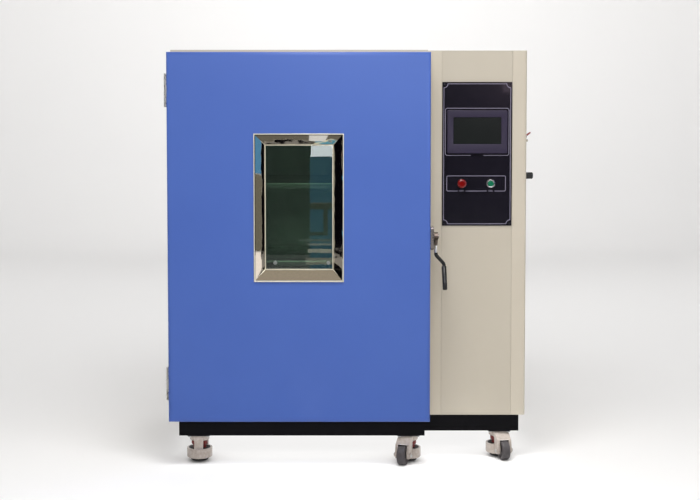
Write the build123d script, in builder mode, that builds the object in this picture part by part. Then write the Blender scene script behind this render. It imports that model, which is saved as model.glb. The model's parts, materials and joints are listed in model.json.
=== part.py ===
"""Floor-standing vacuum oven with a hinged viewing door and a control cabinet beside its chamber.

Millimetres, +Z up, front towards -Y.  The origin lies on the floor at the centre of the overall
box.  Every piece is placed from the door's centre line (door_x), the front plane of the control
cabinet (panel_y) and the floor.
"""

import os
from math import cos, radians, sin

from build123d import *

os.makedirs("parts", exist_ok=True)

# ---------------------------------------------------------------- driving dimensions
# Cabinets
sheet = 2.0                   # folded sheet of both cabinets
casing_clearance = 4.0        # between the insulation and the chamber cabinet's sides
leg_space = 210.0             # under the insulation, for the tank's legs
top_space = 20.0              # above the insulation
service_depth = 115.0         # behind the insulation
control_width = 327.0
chamber_step = 65.0           # how far the chamber cabinet stands in front of the control one
cabinet_gap = 0.5             # seam between the two cabinets
control_edge_r = 9.0          # rounded outer front edge of the control cabinet

# Base frame and casters
base_height = 54.0
base_sheet = 3.0
base_inset_left = 20.0
base_inset_seam = 7.0         # left block's right side, in from the chamber cabinet's side
base_inset_right = 20.5
base_inset_front = 3.0        # right block's front, behind the control cabinet's front
base_flange = 30.0            # folded in along the bottom
caster_gusset = 102.0         # square plates in the bottom corners that carry the casters
caster_height = 94.0
caster_inset = 62.0           # kingpin in from the base's outer sides
caster_inset_front = 45.0     # kingpin behind the base's front faces
caster_inset_middle = 52.0    # middle kingpin in from the left block's right side

# Door
door_overhang = 7.5           # door beyond the chamber cabinet on each side
door_above_base = 2.0
door_below_top = 8.0
door_depth = 50.0
door_sheet = 1.5
door_edge_r = 13.0            # rolled front edges
door_gap = 6.0                # between the door's back and the chamber cabinet
window_width = 217.0          # clear glass
window_height = 400.0
bezel_width = 288.0           # outside of the polished frame
bezel_height = 475.0
bezel_proud = 3.0
bezel_depth = 30.0            # from the frame's outer face to the glass
bezel_sheet = 1.5
outer_glass_thickness = 5.0
sight_glass_thickness = 15.0
glass_overlap = 13.5          # glass behind the frame on each side
glass_channel = 11.0          # width of the channel that holds the sight glass

# Chamber
tank_width = 600.0            # clear inside
tank_depth = 600.0
tank_height = 750.0
tank_wall = 8.0
tank_flange = 55.0            # front flange beyond the clear mouth
tank_flange_thickness = 12.0
casing_lap = 10.0             # front sheet over the tank's flange
belt_height = 25.0            # stiffening belts round the tank
belt_width = 30.0
belt_count = 3
belt_first = 123.0            # first belt's centre behind the flange's front
belt_last = 125.0             # last belt's centre in front of the tank's back
leg_spread = 400.0
leg_width = 50.0
insulation_thickness = 75.0
gasket_width = 14.0
gasket_from_mouth = 12.0
heater_thickness = 3.0
heater_length = 480.0
heater_margin = 5.0           # between a heater pad and a belt

# Shelves
shelf_thickness = 2.0
shelf_setback = 103.0         # shelf front behind the flange's front
shelf_rear_gap = 17.0         # behind the shelves
shelf_lip = 18.0
shelf_slot_length = 120.0
shelf_slot_width = 14.0
shelf_slot_gap = 25.0         # between the ends of two slots
shelf_slot_pitch = 50.0
upper_shelf_rise = 71.0       # upper shelf's top above the tank's centre
lower_shelf_drop = 187.0      # lower shelf's top below the tank's centre
rail_leg = 20.0
rail_sheet = 2.0
rail_short = 4.0              # rails stop short of the shelf's front
rail_upright = 25.0
rail_upright_sheet = 3.0
upright_inset = 40.0          # uprights in from the shelf's ends
upright_foot = 25.0           # uprights above the tank's floor
upright_head = 60.0           # uprights below the tank's roof
shelf_screw_pitch = 177.0     # two round-head screws in the lower shelf's lip
shelf_screw_r = 5.0
shelf_screw_height = 4.0

# Control panel
panel_width = 230.0
panel_from_seam = 49.4        # panel's left edge in from the control cabinet's left side
panel_flange = 20.0
faceplate_width = 228.0
faceplate_height = 470.0
faceplate_thickness = 3.0
faceplate_drop = 102.0        # faceplate's top below the cabinet's top
screen_width = 197.0
screen_height = 141.0
screen_proud = 7.0
screen_drop = 162.5           # screen's centre below the faceplate's top
screen_body_depth = 38.0
screen_body_margin = 6.0      # screen bezel beyond its body on each side
display_width = 156.0
display_height = 87.0
display_rise = 4.0            # display's centre above the bezel's
display_recess = 1.0
button_drop = 331.5           # buttons below the faceplate's top
button_pitch = 95.0
button_row_shift = -2.5       # middle of the two buttons from the panel's centre
button_hole_r = 11.15
collar_r = 14.3
collar_height = 5.0
button_r = 9.9
stop_head_r = 15.0
stop_head_height = 9.0
stop_travel = 4.0
start_proud = 1.5

# Latch on the door's right edge
latch_drop = 93.0             # lever's pivot below the window's centre
latch_plate = 11.6
latch_plate_height = 73.0
latch_plate_drop = 6.5        # plate's centre below the pivot
latch_plate_depth = 30.0
latch_hub_r = 13.0
latch_hub_width = 13.0
latch_pin_r = 5.0
lever_rod_r = 4.5
lever_drop = 174.0            # pivot to the grip's end
lever_crank_top = 61.0        # pivot to the start of the crank
lever_crank_drop = 28.0
lever_crank_reach = 26.0
lever_tilt = 4.0              # grip's end beyond its start
grip_r = 7.6
grip_neck_r = 5.7
keeper_sheet = 3.0
keeper_height = 70.0

# Hinges on the door's left edge
hinge_r = 6.5
hinge_height = 105.0
hinge_low = 115.0             # lower hinge above the door's bottom
hinge_high = 123.0            # upper hinge below the door's top
hinge_pin_r = 3.5
hinge_leaf = 3.0
hinge_leaf_width = 30.0

# Right side of the control cabinet
side_valve_back = 100.0       # behind the control cabinet's front
vent_drop = 413.0             # vent valve below the cabinet's top
vent_reach = 33.5
vent_knob_r = 11.0
vent_cap = 2.0                # plain cap in front of the knob's flutes
isolation_drop = 296.0        # isolation valve below the cabinet's top
valve_body_r = 9.0
valve_body_reach = 8.0
valve_stem_r = 4.0
isolation_lever_width = 9.0
isolation_lever_sheet = 2.5
isolation_lever_rise = 27.0
isolation_lever_reach = 24.0

# Back of the oven
vacuum_pipe_r = 8.0
vacuum_pipe_bore_r = 6.0
vacuum_pipe_reach = 45.0
vacuum_pipe_rise = 287.0      # pipe above the tank's centre
vacuum_flange_r = 24.0
vacuum_flange_thickness = 6.0
gland_r = 12.0
gland_bore_r = 7.0
gland_reach = 22.0
gland_rise = 112.0            # gland above the cabinet's bottom
gland_nut = 3.0               # nut's corners beyond the gland's body
gland_nut_height = 8.0
probe_r = 2.5
probe_length = 70.0
probe_boss_r = 8.0
probe_boss_height = 10.0
probe_offset = 120.0          # probe beside the vacuum pipe

# Inside the control cabinet
tray_sheet = 2.0
tray_depth = 300.0
tray_height = 600.0
tray_rise = 350.0             # tray above the cabinet's bottom
tray_setback = 80.0           # tray's centre behind the cabinet's
tray_standoff = 12.0
tray_standoff_r = 6.0
tray_margin = 20.0            # standoffs in from the tray's edges
module_margin = 45.0          # first row of modules below the tray's top
module_gap = 10.0             # between the modules of a row
module_row_gap = 50.0
breaker = (65.0, 30.0, 80.0)  # depth, width and height of each kind
contactor = (90.0, 50.0, 85.0)
relay = (28.0, 44.0, 60.0)
supply = (45.0, 100.0, 130.0)
breaker_count = 5
contactor_count = 3
relay_count = 4
supply_count = 2

# Levelling caster
caster_plate_size = 74.0
caster_plate_thickness = 4.0
kingpin_r = 8.0
head_r = 32.0
head_height = 18.0
pot_r = 41.5
pot_top = 46.0
pot_bottom = 14.0
pot_wall = 9.0
pot_web = 6.0
wheel_r = 31.5
wheel_width = 27.0
wheel_trail = 56.0
wheel_slot = 30.0
wheel_slot_clearance = 3.0
arm_thickness = 9.0
strut_width = 29.0            # strut from the swivel head to the pot
axle_r = 4.0
axle_boss_r = 7.5
axle_boss_height = 4.0
thumbwheel_r = 26.5
thumbwheel_thickness = 11.5
thumbwheel_collar_r = 22.0
foot_r = 28.5
foot_thickness = 8.0
foot_lift = 5.0               # pad above the floor when screwed up
foot_stem_r = 6.0

# Fits
running = 0.06                # radial clearance of a pin in its bore
loose = 0.3                   # clearance between pieces that move past each other
seat = 0.5                    # clearance round a piece that is set into another

# ---------------------------------------------------------------- worked-out places
tank_outer_width = tank_width + 2 * tank_wall
tank_outer_height = tank_height + 2 * tank_wall
belt_outer_width = tank_outer_width + 2 * belt_height
belt_outer_height = tank_outer_height + 2 * belt_height
insulation_width = belt_outer_width + 2 * insulation_thickness
insulation_height = belt_outer_height + 2 * insulation_thickness
chamber_width = insulation_width + 2 * casing_clearance + 2 * sheet
chamber_depth = sheet + tank_depth + tank_wall + insulation_thickness + service_depth
body_height = 2 * sheet + leg_space + insulation_height + top_space
door_width = chamber_width + 2 * door_overhang
door_height = body_height - door_above_base - door_below_top

base_top = caster_height + base_height
body_top = base_top + body_height
tank_centre_z = base_top + sheet + leg_space + insulation_height / 2
left_reach = door_width / 2 + 2 * hinge_r
chamber_half = chamber_width / 2
right_reach = chamber_half + cabinet_gap + control_width + vent_reach
door_x = (left_reach - right_reach) / 2
front_reach = chamber_step + door_gap + door_depth + bezel_proud
back_reach = chamber_depth - chamber_step + sheet + vacuum_pipe_reach
panel_y = (front_reach - back_reach) / 2

chamber_front = panel_y - chamber_step
chamber_back = chamber_front + chamber_depth
control_left = door_x + chamber_half + cabinet_gap
control_right = control_left + control_width
control_depth = chamber_depth - chamber_step
door_back = chamber_front - door_gap
door_front = door_back - door_depth
door_bottom = base_top + door_above_base
door_top = door_bottom + door_height
door_middle_z = (door_bottom + door_top) / 2
window_z = tank_centre_z
flange_front = chamber_front + sheet
tank_back = flange_front + tank_depth + tank_wall
mouth_width = tank_width + 2 * tank_flange
mouth_height = tank_height + 2 * tank_flange
belt_pitch = (tank_depth + tank_wall - belt_first - belt_last) / (belt_count - 1)
belts = [flange_front + belt_first + i * belt_pitch for i in range(belt_count)]
shelf_depth = tank_depth - shelf_setback - shelf_rear_gap
upper_shelf_z = tank_centre_z + upper_shelf_rise
lower_shelf_z = tank_centre_z - lower_shelf_drop
vacuum_pipe_z = tank_centre_z + vacuum_pipe_rise

panel_x = control_left + panel_from_seam + panel_width / 2
faceplate_front = panel_y - faceplate_thickness
faceplate_top = body_top - faceplate_drop
faceplate_centre_z = faceplate_top - faceplate_height / 2
screen_centre_z = faceplate_top - screen_drop
button_row_z = faceplate_top - button_drop
vent_z = body_top - vent_drop
isolation_z = body_top - isolation_drop
gland_z = base_top + gland_rise
latch_z = window_z - latch_drop
hinge_low_z = door_bottom + hinge_low
hinge_high_z = door_top - hinge_high


def save(piece, name):
    """Name a finished piece and write it as its own STEP file."""
    piece.part.label = name
    export_step(piece.part, f"parts/{name}.step")


def facing_front(y):
    """Plane at depth y that looks to the front: its x runs to +X and its y runs up."""
    return Plane(origin=(0, y, 0), x_dir=(1, 0, 0), z_dir=(0, -1, 0))


def facing_right(x):
    """Plane at x that looks to the right: its x runs to the back and its y runs up."""
    return Plane(origin=(x, 0, 0), x_dir=(0, 1, 0), z_dir=(1, 0, 0))


# ---------------------------------------------------------------- base frame
# A welded pan of folded sheet: outer skirt, top plate, bottom flanges and a gusset for each caster.
# Its left block lies under the chamber cabinet and stands as far forward.
base_left = door_x - chamber_half + base_inset_left
base_seam = door_x + chamber_half - base_inset_seam
base_right = control_right - base_inset_right
base_front_right = panel_y + base_inset_front
base_outline = [
    (base_left, chamber_front),
    (base_seam, chamber_front),
    (base_seam, base_front_right),
    (base_right, base_front_right),
    (base_right, chamber_back),
    (base_left, chamber_back),
]
gusset_half = caster_gusset / 2
gussets = [
    (base_left + gusset_half, chamber_front + gusset_half),
    (base_seam - gusset_half, chamber_front + gusset_half),
    (base_right - gusset_half, base_front_right + gusset_half),
    (base_left + gusset_half, chamber_back - gusset_half),
    (base_right - gusset_half, chamber_back - gusset_half),
]

with BuildPart() as base_frame:
    with BuildSketch(Plane.XY.offset(caster_height)):
        with BuildLine():
            Polyline(*base_outline, close=True)
        make_face()
    extrude(amount=base_height)
    with BuildSketch(Plane.XY.offset(caster_height + base_sheet)):
        with BuildLine():
            Polyline(*base_outline, close=True)
        make_face()
        offset(amount=-base_sheet, kind=Kind.INTERSECTION)
    extrude(amount=base_height - 2 * base_sheet, mode=Mode.SUBTRACT)
    with BuildSketch(Plane.XY.offset(caster_height)):
        with BuildLine():
            Polyline(*base_outline, close=True)
        make_face()
        offset(amount=-base_flange, kind=Kind.INTERSECTION)
        with Locations(*gussets):
            Rectangle(caster_gusset, caster_gusset, mode=Mode.SUBTRACT)
    extrude(amount=base_sheet, mode=Mode.SUBTRACT)
save(base_frame, "base_frame")

# ---------------------------------------------------------------- chamber cabinet
# Folded wrap with a front sheet round the tank's mouth; its back is closed by a cover.
chamber_middle_y = (chamber_front + chamber_back) / 2
body_middle_z = base_top + body_height / 2

with BuildPart() as chamber_casing:
    with BuildSketch(Plane.XY.offset(base_top)):
        with Locations((door_x, chamber_middle_y)):
            Rectangle(chamber_width, chamber_depth)
    extrude(amount=body_height)
    with BuildSketch(facing_front(chamber_back)):
        with Locations((door_x, body_middle_z)):
            Rectangle(chamber_width - 2 * sheet, body_height - 2 * sheet)
    extrude(amount=chamber_depth - sheet, mode=Mode.SUBTRACT)
    with BuildSketch(facing_front(chamber_front + sheet)):
        with Locations((door_x, tank_centre_z)):
            RectangleRounded(
                mouth_width - 2 * casing_lap, mouth_height - 2 * casing_lap, 16
            )
    extrude(amount=sheet, mode=Mode.SUBTRACT)
save(chamber_casing, "chamber_casing")

# ---------------------------------------------------------------- inner chamber (tank)
# Welded tank with a front flange, stiffening belts and two pairs of legs on the cabinet's floor.
leg_top = tank_centre_z - tank_outer_height / 2
leg_bottom = base_top + sheet

with BuildPart() as inner_chamber:
    with BuildSketch(facing_front(tank_back)):
        with Locations((door_x, tank_centre_z)):
            Rectangle(tank_outer_width, tank_outer_height)
    extrude(amount=tank_depth + tank_wall)
    with BuildSketch(facing_front(flange_front + tank_flange_thickness)):
        with Locations((door_x, tank_centre_z)):
            Rectangle(mouth_width, mouth_height)
    extrude(amount=tank_flange_thickness)
    for belt_y in belts:
        with BuildSketch(facing_front(belt_y + belt_width / 2)):
            with Locations((door_x, tank_centre_z)):
                Rectangle(belt_outer_width, belt_outer_height)
        extrude(amount=belt_width)
    for belt_y in (belts[0], belts[-1]):
        with BuildSketch(Plane.XY.offset(leg_bottom)):
            with Locations((door_x, belt_y)):
                with GridLocations(leg_spread, 0, 2, 1):
                    Rectangle(leg_width, belt_width)
        extrude(amount=leg_top - leg_bottom)
    with BuildSketch(facing_front(tank_back - tank_wall)):
        with Locations((door_x, tank_centre_z)):
            RectangleRounded(tank_width, tank_height, 12)
    extrude(amount=tank_depth, mode=Mode.SUBTRACT)
    with BuildSketch(facing_front(tank_back)):
        with Locations((door_x, vacuum_pipe_z)):
            Circle(vacuum_pipe_r + running)
    extrude(amount=tank_wall, mode=Mode.SUBTRACT)
save(inner_chamber, "inner_chamber")

# Insulation block round the tank, from behind the flange to behind the tank's back.
insulation_front = flange_front + tank_flange_thickness + loose
insulation_back = tank_back + insulation_thickness

with BuildPart() as chamber_insulation:
    with BuildSketch(facing_front(insulation_back)):
        with Locations((door_x, tank_centre_z)):
            Rectangle(insulation_width, insulation_height)
    extrude(amount=insulation_back - insulation_front)
    with BuildSketch(facing_front(tank_back + loose)):
        with Locations((door_x, tank_centre_z)):
            Rectangle(belt_outer_width + 2 * loose, belt_outer_height + 2 * loose)
    extrude(amount=tank_back + loose - insulation_front, mode=Mode.SUBTRACT)
    with BuildSketch(Plane.XY.offset(leg_bottom)):
        for belt_y in (belts[0], belts[-1]):
            with Locations((door_x, belt_y)):
                with GridLocations(leg_spread, 0, 2, 1):
                    Rectangle(leg_width + 2 * seat, belt_width + 2 * seat)
    extrude(amount=leg_top - leg_bottom, mode=Mode.SUBTRACT)
    with BuildSketch(facing_front(insulation_back)):
        with Locations((door_x, vacuum_pipe_z)):
            Circle(vacuum_pipe_r + seat)
    extrude(amount=insulation_thickness + loose, mode=Mode.SUBTRACT)
save(chamber_insulation, "chamber_insulation")

# Silicone heating pads between the belts: on both sides, the top and the bottom.
heater_width = belt_pitch - belt_width - 2 * heater_margin
heater_places = [(belts[i] + belts[i + 1]) / 2 for i in range(belt_count - 1)]
side_face = tank_outer_width / 2 + heater_thickness / 2
flat_face = tank_outer_height / 2 + heater_thickness / 2

with BuildPart() as heater_pads:
    for heater_y in heater_places:
        with Locations(
            (door_x - side_face, heater_y, tank_centre_z),
            (door_x + side_face, heater_y, tank_centre_z),
        ):
            Box(heater_thickness, heater_width, heater_length)
        with Locations(
            (door_x, heater_y, tank_centre_z - flat_face),
            (door_x, heater_y, tank_centre_z + flat_face),
        ):
            Box(heater_length, heater_width, heater_thickness)
save(heater_pads, "heater_pads")

# Silicone door seal round the tank's mouth, just clear of the closed door.
gasket_inner_width = tank_width + 2 * gasket_from_mouth
gasket_inner_height = tank_height + 2 * gasket_from_mouth

with BuildPart() as door_gasket:
    with BuildSketch(facing_front(flange_front)):
        with Locations((door_x, tank_centre_z)):
            RectangleRounded(
                gasket_inner_width + 2 * gasket_width,
                gasket_inner_height + 2 * gasket_width,
                24,
            )
            RectangleRounded(gasket_inner_width, gasket_inner_height, 12, mode=Mode.SUBTRACT)
    extrude(amount=flange_front - door_back - loose)
    chamfer(door_gasket.faces().sort_by(Axis.Y)[0].edges(), 2)
save(door_gasket, "door_gasket")

# ---------------------------------------------------------------- shelves and their rails
# Two uprights on each side wall carry three angle rails, two of them under a shelf.
shelf_front = flange_front + shelf_setback
shelf_back = shelf_front + shelf_depth
rail_outer = tank_width / 2 - rail_upright_sheet
shelf_half = rail_outer - rail_sheet - seat
upright_low = tank_centre_z - tank_height / 2 + upright_foot
upright_high = tank_centre_z + tank_height / 2 - upright_head
spare_rail_z = (upper_shelf_z + upright_high) / 2

with BuildPart() as shelf_rails:
    for side in (-1, 1):
        for upright_y in (shelf_front + upright_inset, shelf_back - upright_inset):
            with Locations(
                (
                    door_x + side * (tank_width / 2 - rail_upright_sheet / 2),
                    upright_y,
                    (upright_low + upright_high) / 2,
                )
            ):
                Box(rail_upright_sheet, rail_upright, upright_high - upright_low)
        for shelf_z in (lower_shelf_z, upper_shelf_z, spare_rail_z):
            rail_top = shelf_z - shelf_thickness - loose
            with BuildSketch(facing_front(shelf_back)):
                with BuildLine():
                    Polyline(
                        (door_x + side * rail_outer, rail_top + rail_leg),
                        (door_x + side * rail_outer, rail_top - rail_sheet),
                        (door_x + side * (rail_outer - rail_leg), rail_top - rail_sheet),
                        (door_x + side * (rail_outer - rail_leg), rail_top),
                        (door_x + side * (rail_outer - rail_sheet), rail_top),
                        (door_x + side * (rail_outer - rail_sheet), rail_top + rail_leg),
                        close=True,
                    )
                make_face()
            extrude(amount=shelf_depth - rail_short)
save(shelf_rails, "shelf_rails")


def make_shelf(top_z):
    """Slotted shelf of folded sheet with a lip along its front."""
    with BuildPart() as shelf:
        with BuildSketch(Plane.XY.offset(top_z - shelf_thickness)):
            with Locations((door_x, (shelf_front + shelf_back) / 2)):
                RectangleRounded(2 * shelf_half, shelf_depth, 3)
                with GridLocations(
                    shelf_slot_length + shelf_slot_gap, shelf_slot_pitch, 3, 8
                ):
                    SlotOverall(shelf_slot_length, shelf_slot_width, mode=Mode.SUBTRACT)
        extrude(amount=shelf_thickness)
        with BuildSketch(facing_front(shelf_front + shelf_thickness)):
            with Locations((door_x, top_z - shelf_lip / 2)):
                RectangleRounded(2 * shelf_half - 6, shelf_lip, 3)
        extrude(amount=shelf_thickness)
    return shelf


upper_shelf = make_shelf(upper_shelf_z)
save(upper_shelf, "upper_shelf")

with BuildPart() as lower_shelf:
    add(make_shelf(lower_shelf_z).part)
    with BuildSketch(facing_front(shelf_front)):
        with Locations((door_x, lower_shelf_z - shelf_lip / 2 - 3)):
            with GridLocations(shelf_screw_pitch, 0, 2, 1):
                Circle(shelf_screw_r)
    extrude(amount=shelf_screw_height)
    fillet(lower_shelf.faces().sort_by(Axis.Y)[:2].edges(), 2)
save(lower_shelf, "lower_shelf")

# Temperature probe in a boss on the tank's back wall.
probe_wall = tank_back - tank_wall

with BuildPart() as temperature_probe:
    with BuildSketch(facing_front(probe_wall)):
        with Locations((door_x + probe_offset, vacuum_pipe_z)):
            RegularPolygon(probe_boss_r, 6)
    extrude(amount=probe_boss_height)
    with BuildSketch(facing_front(probe_wall)):
        with Locations((door_x + probe_offset, vacuum_pipe_z)):
            Circle(probe_r)
    extrude(amount=probe_length)
    fillet(temperature_probe.faces().sort_by(Axis.Y)[0].edges(), 2)
save(temperature_probe, "temperature_probe")

# ---------------------------------------------------------------- control cabinet
control_middle_x = (control_left + control_right) / 2
control_middle_y = panel_y + control_depth / 2
panel_opening = panel_width + 2 * seat

with BuildPart() as control_casing:
    with BuildSketch(Plane.XY.offset(base_top)) as control_plan:
        with Locations((control_middle_x, control_middle_y)):
            Rectangle(control_width, control_depth)
        outer_corner = control_plan.vertices().group_by(Axis.Y)[0].sort_by(Axis.X)[-1]
        fillet(outer_corner, control_edge_r)
    extrude(amount=body_height)
    with BuildSketch(Plane.XY.offset(base_top + sheet)) as control_hollow:
        with Locations((control_middle_x, control_middle_y + sheet)):
            Rectangle(control_width - 2 * sheet, control_depth)
        inner_corner = control_hollow.vertices().group_by(Axis.Y)[0].sort_by(Axis.X)[-1]
        fillet(inner_corner, control_edge_r - sheet)
    extrude(amount=body_height - 2 * sheet, mode=Mode.SUBTRACT)
    with BuildSketch(facing_front(panel_y + sheet)):
        with Locations((panel_x, body_middle_z)):
            Rectangle(panel_opening, body_height - 2 * sheet)
    extrude(amount=sheet, mode=Mode.SUBTRACT)
    with BuildSketch(facing_right(control_right - sheet)):
        with Locations(
            (panel_y + side_valve_back, vent_z), (panel_y + side_valve_back, isolation_z)
        ):
            Circle(valve_stem_r + seat)
    extrude(amount=sheet, mode=Mode.SUBTRACT)
save(control_casing, "control_casing")

# Front panel of the control cabinet: a tray of folded sheet with cut-outs.
panel_height = body_height - 2 * sheet - 2 * seat
button_places = [
    (panel_x + button_row_shift - button_pitch / 2, button_row_z),
    (panel_x + button_row_shift + button_pitch / 2, button_row_z),
]
screen_body_width = screen_width - 2 * screen_body_margin
screen_body_height = screen_height - 2 * screen_body_margin

with BuildPart() as control_front_panel:
    with BuildSketch(facing_front(panel_y + panel_flange)):
        with Locations((panel_x, body_middle_z)):
            Rectangle(panel_width, panel_height)
    extrude(amount=panel_flange)
    with BuildSketch(facing_front(panel_y + panel_flange)):
        with Locations((panel_x, body_middle_z)):
            Rectangle(panel_width - 2 * sheet, panel_height - 2 * sheet)
    extrude(amount=panel_flange - sheet, mode=Mode.SUBTRACT)
    with BuildSketch(facing_front(panel_y + sheet)):
        with Locations((panel_x, screen_centre_z)):
            Rectangle(screen_body_width + 2 * seat, screen_body_height + 2 * seat)
        with Locations(*button_places):
            Circle(button_hole_r)
    extrude(amount=sheet, mode=Mode.SUBTRACT)
save(control_front_panel, "control_front_panel")

# Faceplate over the panel's upper half.
with BuildPart() as faceplate:
    with BuildSketch(facing_front(panel_y)):
        with Locations((panel_x, faceplate_centre_z)):
            RectangleRounded(faceplate_width, faceplate_height, 2)
        with Locations((panel_x, screen_centre_z)):
            Rectangle(
                screen_body_width + 2 * seat,
                screen_body_height + 2 * seat,
                mode=Mode.SUBTRACT,
            )
        with Locations(*button_places):
            Circle(button_hole_r, mode=Mode.SUBTRACT)
    extrude(amount=faceplate_thickness)
save(faceplate, "faceplate")

# Touch screen: bezel on the faceplate, body through the cut-outs, display in a recess.
screen_front = faceplate_front - screen_proud
display_z = screen_centre_z + display_rise

with BuildPart() as touch_screen:
    with BuildSketch(facing_front(faceplate_front)):
        with Locations((panel_x, screen_centre_z)):
            RectangleRounded(screen_width, screen_height, 5)
    extrude(amount=screen_proud)
    fillet(touch_screen.faces().sort_by(Axis.Y)[0].edges(), 2)
    with BuildSketch(facing_front(faceplate_front + screen_body_depth)):
        with Locations((panel_x, screen_centre_z)):
            Rectangle(screen_body_width, screen_body_height)
    extrude(amount=screen_body_depth)
    with BuildSketch(facing_front(screen_front + display_recess)):
        with Locations((panel_x, display_z)):
            Rectangle(display_width, display_height)
    extrude(amount=display_recess, mode=Mode.SUBTRACT)
save(touch_screen, "touch_screen")

with BuildPart() as display_glass:
    with BuildSketch(facing_front(screen_front + display_recess)):
        with Locations((panel_x, display_z)):
            Rectangle(display_width - seat, display_height - seat)
    extrude(amount=display_recess - 0.2)
save(display_glass, "display_glass")

# Button collars with their barrels and contact blocks; both button caps slide in them.
barrel_r = button_hole_r - 0.15
barrel_back = panel_y + 25.0
contact_block_back = barrel_back + 30.0
collar_front = faceplate_front - collar_height
button_bore_back = barrel_back - 5.0
button_back = panel_y + 10.0

with BuildPart() as button_collars:
    with BuildSketch(facing_front(faceplate_front)):
        with Locations(*button_places):
            Circle(collar_r)
    extrude(amount=collar_height)
    chamfer(button_collars.faces().sort_by(Axis.Y)[:2].edges(), 1.5)
    with BuildSketch(facing_front(barrel_back)):
        with Locations(*button_places):
            Circle(barrel_r)
    extrude(amount=barrel_back - faceplate_front)
    with BuildSketch(facing_front(contact_block_back)):
        with Locations(*button_places):
            RectangleRounded(30, 40, 3)
    extrude(amount=contact_block_back - barrel_back)
    with BuildSketch(facing_front(button_bore_back)):
        with Locations(*button_places):
            Circle(button_r + running)
    extrude(amount=button_bore_back - collar_front, mode=Mode.SUBTRACT)
save(button_collars, "button_collars")

stop_head_back = collar_front - stop_travel - loose

with BuildPart() as stop_button:
    with BuildSketch(facing_front(button_back)):
        with Locations(button_places[0]):
            Circle(button_r)
    extrude(amount=button_back - stop_head_back)
    with BuildSketch(facing_front(stop_head_back)):
        with Locations(button_places[0]):
            Circle(stop_head_r)
    extrude(amount=stop_head_height)
    fillet(stop_button.faces().sort_by(Axis.Y)[0].edges(), 6)
save(stop_button, "stop_button")

with BuildPart() as start_button:
    with BuildSketch(facing_front(button_back)):
        with Locations(button_places[1]):
            Circle(button_r)
    extrude(amount=button_back - collar_front + start_proud)
    fillet(start_button.faces().sort_by(Axis.Y)[0].edges(), 1)
save(start_button, "start_button")

# ---------------------------------------------------------------- inside the control cabinet
# Mounting tray on the cabinet's inner side, with the switching and power modules on it.
tray_x = control_right - sheet
tray_y = control_middle_y + tray_setback
tray_low = base_top + tray_rise

with BuildPart() as electrical_tray:
    with BuildSketch(facing_right(tray_x - tray_standoff - tray_sheet)):
        with Locations((tray_y, tray_low + tray_height / 2)):
            Rectangle(tray_depth, tray_height)
    extrude(amount=tray_sheet)
    with BuildSketch(facing_right(tray_x - tray_standoff)):
        with Locations((tray_y, tray_low + tray_height / 2)):
            with GridLocations(tray_depth - 2 * tray_margin, tray_height - 2 * tray_margin, 2, 2):
                Circle(tray_standoff_r)
    extrude(amount=tray_standoff)
save(electrical_tray, "electrical_tray")

# Breaker row, contactors, solid-state relays on their heat sink, and the control supply.
module_face = tray_x - tray_standoff - tray_sheet
module_rows = [
    (breaker, breaker_count),
    (contactor, contactor_count),
    (relay, relay_count),
    (supply, supply_count),
]
row_top = tray_low + tray_height - module_margin

with BuildPart() as electrical_modules:
    for (depth, width, height), count in module_rows:
        with Locations((module_face - depth / 2, tray_y, row_top - height / 2)):
            with GridLocations(0, width + module_gap, 1, count):
                Box(depth, width, height)
        row_top -= height + module_row_gap
save(electrical_modules, "electrical_modules")

# ---------------------------------------------------------------- rear covers and services
# One flat cover behind each cabinet; the control cabinet's has rows of cooling slots.
louvre_rows = 9
louvre_pitch = 22.0
louvre_length = 180.0
louvre_width = 5.0

with BuildPart() as rear_covers:
    with BuildSketch(facing_front(chamber_back + sheet)):
        with Locations((door_x, body_middle_z)):
            Rectangle(chamber_width, body_height)
        with Locations((door_x, vacuum_pipe_z)):
            Circle(vacuum_pipe_r + seat, mode=Mode.SUBTRACT)
    extrude(amount=sheet)
    with BuildSketch(facing_front(chamber_back + sheet)):
        with Locations((control_middle_x, body_middle_z)):
            Rectangle(control_width, body_height)
        for bank_z in (base_top + 0.3 * body_height, base_top + 0.8 * body_height):
            with Locations((control_middle_x, bank_z)):
                with GridLocations(0, louvre_pitch, 1, louvre_rows):
                    SlotOverall(louvre_length, louvre_width, mode=Mode.SUBTRACT)
        with Locations((control_middle_x, gland_z)):
            Circle(gland_r - 2, mode=Mode.SUBTRACT)
    extrude(amount=sheet)
save(rear_covers, "rear_covers")

# Vacuum pipe from the tank's back wall to a plain spigot behind the cabinet.
rear_face = chamber_back + sheet
spigot_end = rear_face + vacuum_pipe_reach

with BuildPart() as vacuum_pipe:
    with BuildSketch(facing_front(spigot_end)):
        with Locations((door_x, vacuum_pipe_z)):
            Circle(vacuum_pipe_r)
    extrude(amount=spigot_end - tank_back + tank_wall)
    with BuildSketch(facing_front(rear_face + vacuum_flange_thickness)):
        with Locations((door_x, vacuum_pipe_z)):
            Circle(vacuum_flange_r)
    extrude(amount=vacuum_flange_thickness)
    with BuildSketch(facing_front(spigot_end)):
        with Locations((door_x, vacuum_pipe_z)):
            Circle(vacuum_pipe_bore_r)
    extrude(amount=spigot_end - tank_back + tank_wall, mode=Mode.SUBTRACT)
save(vacuum_pipe, "vacuum_pipe")

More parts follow.
